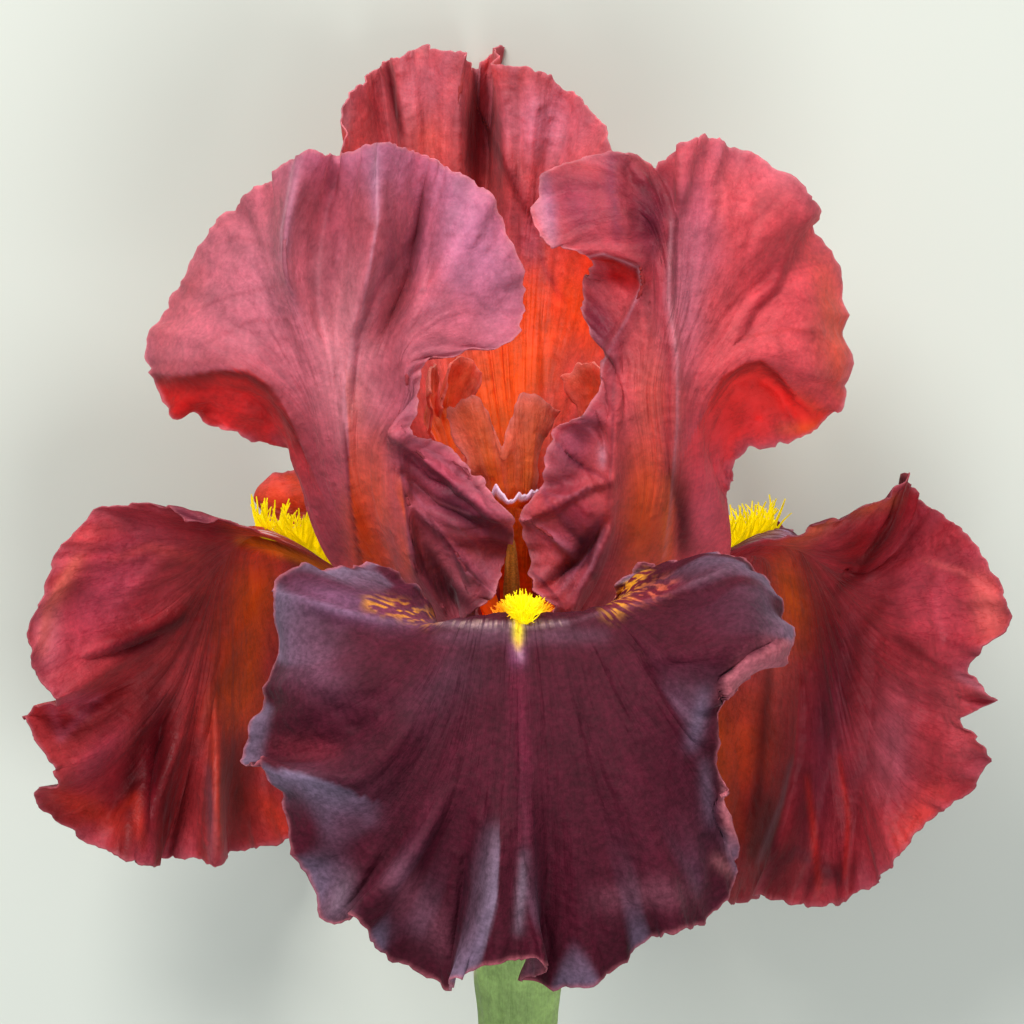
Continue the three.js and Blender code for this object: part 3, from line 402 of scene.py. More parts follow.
def ruffled(grid, seed, depth=1.0):
    """A living blade: wrinkled along its veins, waved and finely crimped along its margins."""
    rows, columns = grid.shape[:2]
    length = np.linspace(0, 1, rows)[:, None]
    breadth = np.linspace(0, 1, columns)[None, :]
    down = lengths_along(grid)
    across = lengths_along(np.swapaxes(grid, 0, 1)).T
    sides = ease(SIDE_RUFFLES_FROM, SIDE_RUFFLES_FROM + 0.2, length)
    margins = [  # distance in from the margin, distance along it, share of the ruffles, outward
        (down[-1] - down, across[-1:] + 0 * down, 1.0, unit(grid[-1:] - grid[-2:-1])),
        (across, down[:, :1] + LEFT_NOISE + 0 * across, sides, unit(grid[:, :1] - grid[:, 1:2])),
        (across[:, -1:] - across, down[:, -1:] + RIGHT_NOISE + 0 * across, sides,
         unit(grid[:, -1:] - grid[:, -2:-1])),
    ]
    wide = vein_noise(length, breadth, WIDE_WRINKLES[2], WIDE_WRINKLES[1], seed)
    sharp = vein_noise(length, breadth, SHARP_WRINKLES[2], SHARP_WRINKLES[1], seed + 12)
    lift = depth * (WIDE_WRINKLES[0] * wide - SHARP_WRINKLES[0] * np.abs(sharp))
    lift = lift * ease(0.15, 0.5, length) * ease(0, SMOOTH_RIM, margins[0][0])
    moved = grid.copy()
    for index, (gap, along, share, outward) in enumerate(margins):
        wave, crimp = (
            height * np.exp(-((gap / reach) ** 2)) * line_noise(along / spacing, seed + index + 3 * kind)
            for kind, (height, reach, spacing) in enumerate((WAVES, CRIMPS)))
        lift = lift + depth * share * (wave + crimp)
        coarse, fine = (height * line_noise(along / spacing, seed + index + 6 + 3 * kind)
                        for kind, (height, spacing) in enumerate(BITES))
        bite = (coarse + fine) * share * np.exp(-gap / BITE_REACH)
        moved = moved + bite[..., None] * outward
    moved = moved + lift[..., None] * grid_normals(grid)
    return moved, np.minimum(margins[0][0], np.minimum(margins[1][0], margins[2][0]))


def as_seen(points):
    """Where the camera sees points: millimetres right of and above the axis point."""
    flat = np.stack([points @ right, points @ up], axis=-1)
    return flat / (1 - points[..., 2:] / CAMERA_DISTANCE)


def beside(seen, line, reaches, uneven=0.0):
    """From 1 on a line, as the camera sees it, down to 0 beyond its reach to the left and to the right."""
    line = np.reshape(np.array(line, float), (-1, 2))
    left_reach, right_reach = np.broadcast_to(reaches, 2)
    nearest = np.full(seen.shape[:-1], 1e9)
    cover = np.zeros(seen.shape[:-1])
    lengths = lengths_along(line)
    for start, end, begun, ended in zip(line, line[1:], lengths, lengths[1:]):
        stroke = end - start
        offset = seen - start
        along = np.clip(offset @ stroke / (stroke @ stroke), 0, 1)
        gap = np.linalg.norm(offset - along[..., None] * stroke, axis=-1)
        on_left = stroke[0] * offset[..., 1] - stroke[1] * offset[..., 0] > 0
        taper = np.sin(np.pi * (0.1 + 0.8 * (begun + along * (ended - begun)) / lengths[-1])) ** 0.5
        reach = np.where(on_left, left_reach, right_reach)
        here = taper * np.exp(-((gap * (1 + uneven * np.minimum(1, reach / 3)) / reach) ** 2))
        cover = np.where(gap < nearest, here, cover)
        nearest = np.minimum(gap, nearest)
    return cover


def folded(points, folds):
    """Raises ridges toward the camera and sinks valleys, each along a line."""
    seen = as_seen(points)
    lift = sum(depth * beside(seen, line, reaches) for line, reaches, depth in folds)
    return points + lift[..., None] * back


def pulled(points, pulls):
    """Moves parts of a blade across the camera's view, each about a place with a reach."""
    for place, reach, shift in pulls:
        gap = np.linalg.norm(as_seen(points) - place, axis=-1)
        share = np.exp(-((gap / reach) ** 2))[..., None]
        points = points + share * (shift[0] * right + shift[1] * up)
    return points


def paint_points(mesh, tint):
    """Gives each point of a mesh its own colour."""
    colours = np.concatenate([tint, np.ones((len(tint), 1))], axis=1)
    mesh.attributes.new("tint", "FLOAT_COLOR", "POINT").data.foreach_set("color", colours.ravel())


def add_piece(name, points, faces, material, tint=None, st=None):
    """A smooth mesh that rides on the flower, from points in millimetres round its axis."""
    corners = np.concatenate([group.ravel() for group in faces])
    sizes = np.concatenate([np.full(len(group), group.shape[1]) for group in faces])
    mesh = bpy.data.meshes.new(name)
    mesh.vertices.add(len(points))
    mesh.vertices.foreach_set("co", placed(points).ravel())
    mesh.loops.add(len(corners))
    mesh.loops.foreach_set("vertex_index", corners)
    mesh.polygons.add(len(sizes))
    mesh.polygons.foreach_set("loop_start", np.cumsum(sizes) - sizes)
    mesh.polygons.foreach_set("use_smooth", np.ones(len(sizes), bool))
    mesh.update(calc_edges=True)
    if st is not None:
        mesh.uv_layers.new(name="st").data.foreach_set("uv", st[corners].ravel())
    if tint is not None:
        paint_points(mesh, tint)
    mesh.materials.append(material)
    piece = bpy.data.objects.new(name, mesh)
    bpy.context.scene.collection.objects.link(piece)
    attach(piece, "root")
    return piece


def sheet_faces(rows, columns):
    """The faces of a thin closed sheet: its two sides, each a grid of points, and the rim round them."""
    place = np.arange(rows * columns).reshape(rows, columns)
    under = place + rows * columns
    cell = [place[:-1, :-1], place[:-1, 1:], place[1:, 1:], place[1:, :-1]]
    back = [under[:-1, :-1], under[1:, :-1], under[1:, 1:], under[:-1, 1:]]
    rim = np.concatenate([place[0], place[1:, -1], place[-1, -2::-1], place[-2:0:-1, 0]])
    following = np.roll(rim, -1)
    edge = [rim, rim + rows * columns, following + rows * columns, following]
    return [np.stack([side.ravel() for side in sides], axis=1) for sides in (cell, back, edge)]


def two_sides(sheet, half):
    """The points of both sides of a thin sheet, half its thickness to either side of its middle surface."""
    normals = grid_normals(sheet)
    return np.concatenate([(sheet + half * normals).reshape(-1, 3), (sheet - half * normals).reshape(-1, 3)])


def sheet_shares(rows, columns):
    """How far along and across a sheet each of its points lies, and both as a map of its two sides."""
    length, breadth = np.meshgrid(np.linspace(0, 1, rows), np.linspace(0, 1, columns), indexing="ij")
    return length, breadth, np.tile(np.stack([breadth.ravel(), length.ravel()], axis=1), (2, 1))


# Unevenness of the edge of every wash: strength and size in millimetres, coarse and fine.
COARSE_EDGE, FINE_EDGE = (0.3, 7), (0.15, 2.2)


def painted(points, base, washes, seed):
    """Washes of colour over a base colour, painted shade and highlights among them, each along a line that
    the camera sees.
    """
    seen = as_seen(points)
    uneven = COARSE_EDGE[0] * soft_noise(points / COARSE_EDGE[1], seed)
    uneven = uneven + FINE_EDGE[0] * soft_noise(points / FINE_EDGE[1], seed + 1)
    tint = np.broadcast_to(np.asarray(base, float), points.shape).copy()
    for line, reaches, colour, strength in washes:
        cover = strength * beside(seen, line, reaches, uneven)
        tint += cover[..., None] * (np.array(colour) - tint)
    return tint


def add_node(tree, kind, settings=None, inputs=None):
    """A node with its settings and inputs; an input that is another node's output is linked."""
    made = tree.nodes.new(kind if kind.startswith(("Geometry", "Function")) else "ShaderNode" + kind)
    for key, value in (settings or {}).items():
        setattr(made, key, value)
    for key, value in (inputs or {}).items():
        if isinstance(value, bpy.types.NodeSocket):
            tree.links.new(value, made.inputs[key])
        else:
            made.inputs[key].default_value = value
    return made


def new_material(name):
    """A material, its node tree and shader, the colour of the points, and the place on the object."""
    material = bpy.data.materials.new(name)
    material.use_nodes = True
    tree = material.node_tree
    tint = add_node(tree, "Attribute", {"attribute_name": "tint"}).outputs["Color"]
    place = add_node(tree, "TexCoord").outputs["Object"]
    return material, tree, tree.nodes["Principled BSDF"], tint, place


def noise_nodes(tree, place, scale, detail=2.0, kind="FBM"):
    """Noise through the tissue, from 0 to 1."""
    return add_node(tree, "TexNoise", {"noise_type": kind},
                    {"Vector": place, "Scale": scale, "Detail": detail}).outputs[0]


def bump_nodes(tree, height, strength, distance, below=None):
    """Relief of a height in metres, on top of the relief below it."""
    inputs = {"Height": height, "Strength": strength, "Distance": distance}
    if below:
        inputs["Normal"] = below
    return add_node(tree, "Bump", inputs=inputs).outputs[0]


def let_light_through(tree, shader, glow, through, normal=None):
    """Mixes in light that passes through the tissue, in a colour of its own."""
    inputs = {"Color": through, "Normal": normal} if normal else {"Color": through}
    lit = add_node(tree, "BsdfTranslucent", inputs=inputs).outputs[0]
    mixed = add_node(tree, "MixShader", inputs={0: glow, 1: shader.outputs[0], 2: lit}).outputs[0]
    tree.links.new(mixed, tree.nodes["Material Output"].inputs["Surface"])


# The veins that run up every petal from its claw, as ridges of colour and relief.
VEIN_BENDS = 9.0  # along the whole petal
VEIN_WIDTH = 0.035
petal_veins = bpy.data.node_groups.new("petal_veins", "ShaderNodeTree")
for socket, way, kind in [("Place", "INPUT", "Vector"), ("Crowding", "INPUT", "Float"),
                          ("Vein", "OUTPUT", "Float"), ("Relief", "OUTPUT", "Float")]:
    petal_veins.interface.new_socket(socket, in_out=way, socket_type="NodeSocket" + kind)
taken = petal_veins.nodes.new("NodeGroupInput").outputs
split = add_node(petal_veins, "SeparateXYZ", inputs={0: taken["Place"]}).outputs
crowded = add_node(petal_veins, "Math", {"operation": "MULTIPLY"},
                   {0: split["X"], 1: taken["Crowding"]}).outputs[0]
stretched = add_node(petal_veins, "Math", {"operation": "MULTIPLY"},
                     {0: split["Y"], 1: VEIN_BENDS}).outputs[0]
vein_place = add_node(petal_veins, "CombineXYZ", inputs={"X": crowded, "Y": stretched}).outputs[0]
vein_relief = add_node(petal_veins, "TexNoise", {"noise_dimensions": "2D"},
                       {"Vector": vein_place, "Scale": 1.0, "Detail": 3.0, "Roughness": 0.6}).outputs[0]
off_middle = add_node(petal_veins, "Math", {"operation": "SUBTRACT"}, {0: vein_relief, 1: 0.5}).outputs[0]
ridge = add_node(petal_veins, "Math", {"operation": "ABSOLUTE"}, {0: off_middle}).outputs[0]
vein = add_node(petal_veins, "MapRange",
                inputs={"Value": ridge, 1: 0.0, 2: VEIN_WIDTH, 3: 1.0, 4: 0.0}).outputs[0]
given = petal_veins.nodes.new("NodeGroupOutput").inputs
petal_veins.links.new(vein, given["Vein"])
petal_veins.links.new(vein_relief, given["Relief"])


MOTTLE_SCALE, SPECK_SCALE, CRINKLE_SCALE, CELL_SCALE = 260.0, 1300.0, 420.0, 2600.0  # to the metre
MOTTLE = 0.16
# Relief of the skin: strength, and height in metres.
CELL_RELIEF, CRINKLE_RELIEF, VEIN_RELIEF = (0.25, 0.0002), (0.7, 0.0006), (0.45, 0.0006)


def petal_material(name, roughness, sheen, sheen_tint, glow, vein_strength, crowding, gloss=0.22, grain=0.09):
    """Thin living tissue: velvety, veined, with light coming through it."""
    material, tree, shader, tint, place = new_material(name)
    st = add_node(tree, "UVMap", {"uv_map": "st"}).outputs["UV"]
    veins = add_node(tree, "Group", {"node_tree": petal_veins}, {"Place": st, "Crowding": crowding}).outputs
    mottle = noise_nodes(tree, place, MOTTLE_SCALE, 5.0)
    value = add_node(tree, "MapRange",
                     inputs={"Value": mottle, 1: 0.3, 2: 0.7, 3: 1 - MOTTLE, 4: 1 + MOTTLE}).outputs[0]
    speck = noise_nodes(tree, place, SPECK_SCALE, 3.0)
    bright = add_node(tree, "MapRange",
                      inputs={"Value": speck, 1: 0.35, 2: 0.65, 3: 1 - grain, 4: 1 + grain}).outputs[0]
    both = add_node(tree, "Math", {"operation": "MULTIPLY"}, {0: value, 1: bright}).outputs[0]
    varied = add_node(tree, "HueSaturation", inputs={"Color": tint, "Value": both}).outputs[0]
    dark = add_node(tree, "HueSaturation",
                    inputs={"Color": varied, "Saturation": 1.12, "Value": 0.62}).outputs[0]
    share = add_node(tree, "Math", {"operation": "MULTIPLY"}, {0: veins["Vein"], 1: vein_strength}).outputs[0]
    colour = add_node(tree, "MixRGB", inputs={"Fac": share, "Color1": varied, "Color2": dark}).outputs[0]
    tree.links.new(colour, shader.inputs["Base Color"])
    shader.inputs["Roughness"].default_value = roughness
    shader.inputs["Sheen Weight"].default_value = sheen
    shader.inputs["Sheen Tint"].default_value = (*sheen_tint, 1)
    shader.inputs["Sheen Roughness"].default_value = 0.4
    shader.inputs["Specular IOR Level"].default_value = gloss
    cells = add_node(tree, "TexVoronoi", inputs={"Vector": place, "Scale": CELL_SCALE}).outputs["Distance"]
    crinkles = noise_nodes(tree, place, CRINKLE_SCALE, 3.0, "RIDGED_MULTIFRACTAL")
    relief = bump_nodes(tree, cells, *CELL_RELIEF)
    relief = bump_nodes(tree, crinkles, *CRINKLE_RELIEF, relief)
    relief = bump_nodes(tree, veins["Relief"], *VEIN_RELIEF, relief)
    tree.links.new(relief, shader.inputs["Normal"])
    through = add_node(tree, "HueSaturation",
                       inputs={"Color": colour, "Saturation": 1.1, "Value": 1.7}).outputs[0]
    let_light_through(tree, shader, glow, through, relief)
    return material


def add_petal(name, grid, fineness, material, folds, paint, seed, pulls=()):
    """A living petal in place of its solid blade; paint gives the colours of one side of it."""
    fine = refined(grid, CUT_ROWS, np.linspace(0, grid.shape[1] - 1, fineness * (grid.shape[1] - 1) + 1))
    sheet, edge = ruffled(folded(pulled(fine, pulls), folds), seed)
    normals = grid_normals(sheet)
    half = (EDGE_THICKNESS + (BODY_THICKNESS - EDGE_THICKNESS) * ease(0, THINNING, edge))[..., None] / 2
    sheet[..., 2] = np.maximum(sheet[..., 2], PRESSED_HEIGHT)
    sides = [np.concatenate([face[..., :2], np.maximum(face[..., 2:], TABLE)], axis=-1)
             for face in (sheet + half * normals, sheet - half * normals)]
    length, breadth, st = sheet_shares(*edge.shape)
    tints = [paint(side, face, length, breadth, edge) for side, face in zip((1, -1), sides)]
    points = np.concatenate([face.reshape(-1, 3) for face in sides])
    tint = np.concatenate([colours.reshape(-1, 3) for colours in tints])
    piece = add_piece(name + "_blade", points, sheet_faces(*edge.shape), material, tint, st)
    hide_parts(name)
    return piece


# Seat's ring and angle; then the claw's radius, height, half width, bow and rise where it leaves the tube.
CLAW_OF_STANDARD = (5.8, math.radians(24), 13, -6, 8, 2.5, 0)

# For each standard: the way it faces, its turn, its points, and the colours of the two sides of the blade,
# with washes of colour over them. A wash is a line seen from the camera, its points in turn in millimetres
# right of and above the axis point, with its reach or its reaches to the left and to the right of the line,
# its colour and its strength. A fold is such a line with its height toward the camera. Besides the petals'
# own colours, the washes hold painted shade (dark washes in creases, in the valleys beside the folds, under
# the overhanging lobes and where the petals' feet meet), painted highlights (thin pale washes along ridges)
# and painted light shining through the tissue (the claws' orange and the flaps' red, painted brighter).
STANDARD_FOLDS = {
    "standard_left": [
    ((-34, 69, -36.5, 56.5, -36, 48.5, -30.5, 36, -27, 24), (1.7, 1.6), 0.9),
    ((-22, 71, -21.5, 59, -24.5, 45, -26.5, 34, -27, 24, -25.5, 11.5, -24.5, 3.5), (1.6, 0.9), 1.8),
    ((-13.5, 67.5, -15.5, 56.5, -21.5, 48.5, -24.5, 41, -25.5, 31.5), (1.2, 1.9), -1.8),
    ((-27, 65, -26, 54, -29, 45), (1.9, 1.2), -1.3),
    ((-12, 68, -14, 59, -15, 47.5, -18.5, 37), (0.8, 1.1), 1.2),
    ((-41.5, 60.5, -39.5, 49.5, -34.5, 39), 1.4, -0.9),
    ((-57, 34.5, -51, 35, -46, 36, -41.5, 35.5, -38, 33, -36, 29.5, -34, 25), (3.4, 0.5), 2.8),
    ((-54, 32, -46, 33.5, -42, 32.5, -39, 30, -37, 25), (0.9, 1.1), -1.6),
    ((-52.5, 29.5, -47, 28, -43, 25), 0.8, 0.9), ((-46, 30.5, -39.5, 28), (0.6, 0.8), 0.8),
    ((-7.5, 57.5, 0.5, 46.5), 0.9, 0.5), ((-9, 51, -0.5, 42), 0.9, 0.5),
    ((-10.5, 63.5, -3, 59.5), 0.9, 0.5), ((-55.5, 42, -47, 39.5), 1.1, 0.6),
    ((-51, 49.5, -43, 45), 1.1, 0.6), ((-18, 25, -17, 15.5, -16, 6), (0.6, 1.4), 1.5),
    ((-22.5, 21.5, -21.5, 12.5, -19, 2), 0.9, -0.8),
    ((-18.5, 25, -12, 20, -6.5, 15.5, -1.5, 11), (1.4, 0.5), 1.8),
    ((-17.5, 19.5, -12, 15, -6, 12), (0.9, 1.1), -2.3), ((-16, 14.5, -12, 10.5, -8, 4.5, -3.5, 1), 0.8, 2),
    ((-10, 21, -6, 17, -3, 14.5), (0.5, 0.6), -0.7), ((-14.5, 24, -10, 21.5, -6, 18.5), 0.5, 0.6),
    ((-16.5, 22.5, -13.5, 19, -10, 17.5), (0.4, 0.5), -0.6),
    ((-13.5, 13, -10.5, 8.5, -7.5, 1.5), (0.5, 0.6), -0.9), ((-13.5, 6, -10, 0, -7.5, -2), 1.2, -1.5),
    ((-17, 13, -15.5, 4.5, -12, -1), (0.8, 0.9), 1.2),
    ],
    "standard_right": [
    ((16, 70, 15.5, 63.5, 17, 52.5), (0.6, 1.6), 1),
    ((28, 70.5, 23.5, 58.5, 23, 47, 24.5, 37.5, 24.5, 27, 23.5, 14.5, 22, 6), (0.8, 1.9), 1.8),
    ((16.5, 66.5, 19, 58.5, 22, 55, 20.5, 48), (1.4, 1.9), -1.8), ((26.5, 54, 26.5, 42, 28, 31), 0.8, -0.6),
    ((29.5, 31, 31.5, 34.5, 35, 37, 37.5, 37.5, 40, 35.5, 43, 31.5, 45.5, 29.5, 49.5, 29), (3.4, 0.5), 2.8),
    ((30.5, 30.5, 33.5, 34, 37, 35, 40, 32.5, 42, 29), (0.9, 1.1), -1.6),
    ((32, 26.5, 35, 28, 40, 26.5), 0.8, 0.9), ((34.5, 25, 39, 29.5), 0.6, 0.7),
    ((45.5, 61, 42, 55, 39.5, 48.5, 36, 45.5, 34, 41), (0.6, 1.6), 1.5), ((47, 56, 49.5, 49.5), 0.9, 0.6),
    ((43.5, 42, 50, 40.5), 1.1, 0.6), ((31.5, 65, 33, 52.5), 0.9, 0.6), ((37.5, 63.5, 35, 52.5), 0.9, -0.6),
    ((8, 52.5, 13, 53.5, 18.5, 52, 19, 48.5, 17, 44.5, 15, 41, 13, 36.5), (1.9, 0.5), 2.4),
    ((9.5, 50.5, 15, 49.5, 17, 47.5), (0.8, 0.9), -1.2), ((12.5, 66.5, 13.5, 57.5), 0.9, 0.7),
    ((15, 37.5, 14.5, 23, 14, 14.5), (0.8, 0.6), 1.2), ((23.5, 19, 25, 6.5), (0.9, 1.4), -1.5),
    ((28, 25, 29, 9.5), 0.9, 0.7), ((13.5, 12, 10.5, 7.5, 5.5, 2.5), (0.8, 1.2), -2.4),
    ((6.5, 24, 9.5, 21.5, 12.5, 16.5), (0.5, 0.6), -0.6), ((4.5, 20, 8, 17.5, 11, 13.5), 0.5, 0.6),
    ((1.5, 11.5, 5.5, 8.5, 8.5, 4), 0.5, -0.7), ((5.5, 25, 9, 21.5, 13.5, 19), (0.4, 0.5), -0.6),
    ((10.5, 31, 12.5, 28, 13.5, 23), 0.5, -0.6),
    ((14.5, 18.5, 10.5, 17.5, 7, 15.5, 2, 12.5), (0.5, 1.4), 1.6), ((-0.5, 13, 4.5, 10, 9, 7), 0.8, 1.2),
    ((14, 11, 12, 5.5, 8.5, 0), (0.6, 0.9), 1.4), ((9, 28, 12.5, 25), (0.8, 0.9), 0.8),
    ],
    "standard_back": [
    ((-25, 80, -26.5, 74.5, -27.5, 69.5), (0.5, 1.1), 1.4),
    ((-20, 82, -19, 76, -18, 71.5), (0.5, 0.9), -1.6), ((-15, 83.5, -16, 71.5), 1.4, 0.9),
    ((-10, 80.5, -11, 70), 0.9, -0.6), ((-6.5, 83, -7, 77, -7.5, 66.5), (0.8, 1.4), -2.4),
    ((-6, 83, -6, 75, -2.5, 68, 1, 60.5), (1.6, 0.5), 1.8), ((3, 75.5, 1.5, 65.5, 0.5, 56), 1.2, 1),
    ((8, 76, 6.5, 65), 1.2, -0.7), ((-2, 39, -1, 28), 0.8, -0.7), ((3.5, 46.5, 4, 31), 0.9, 0.7),
    ],
}
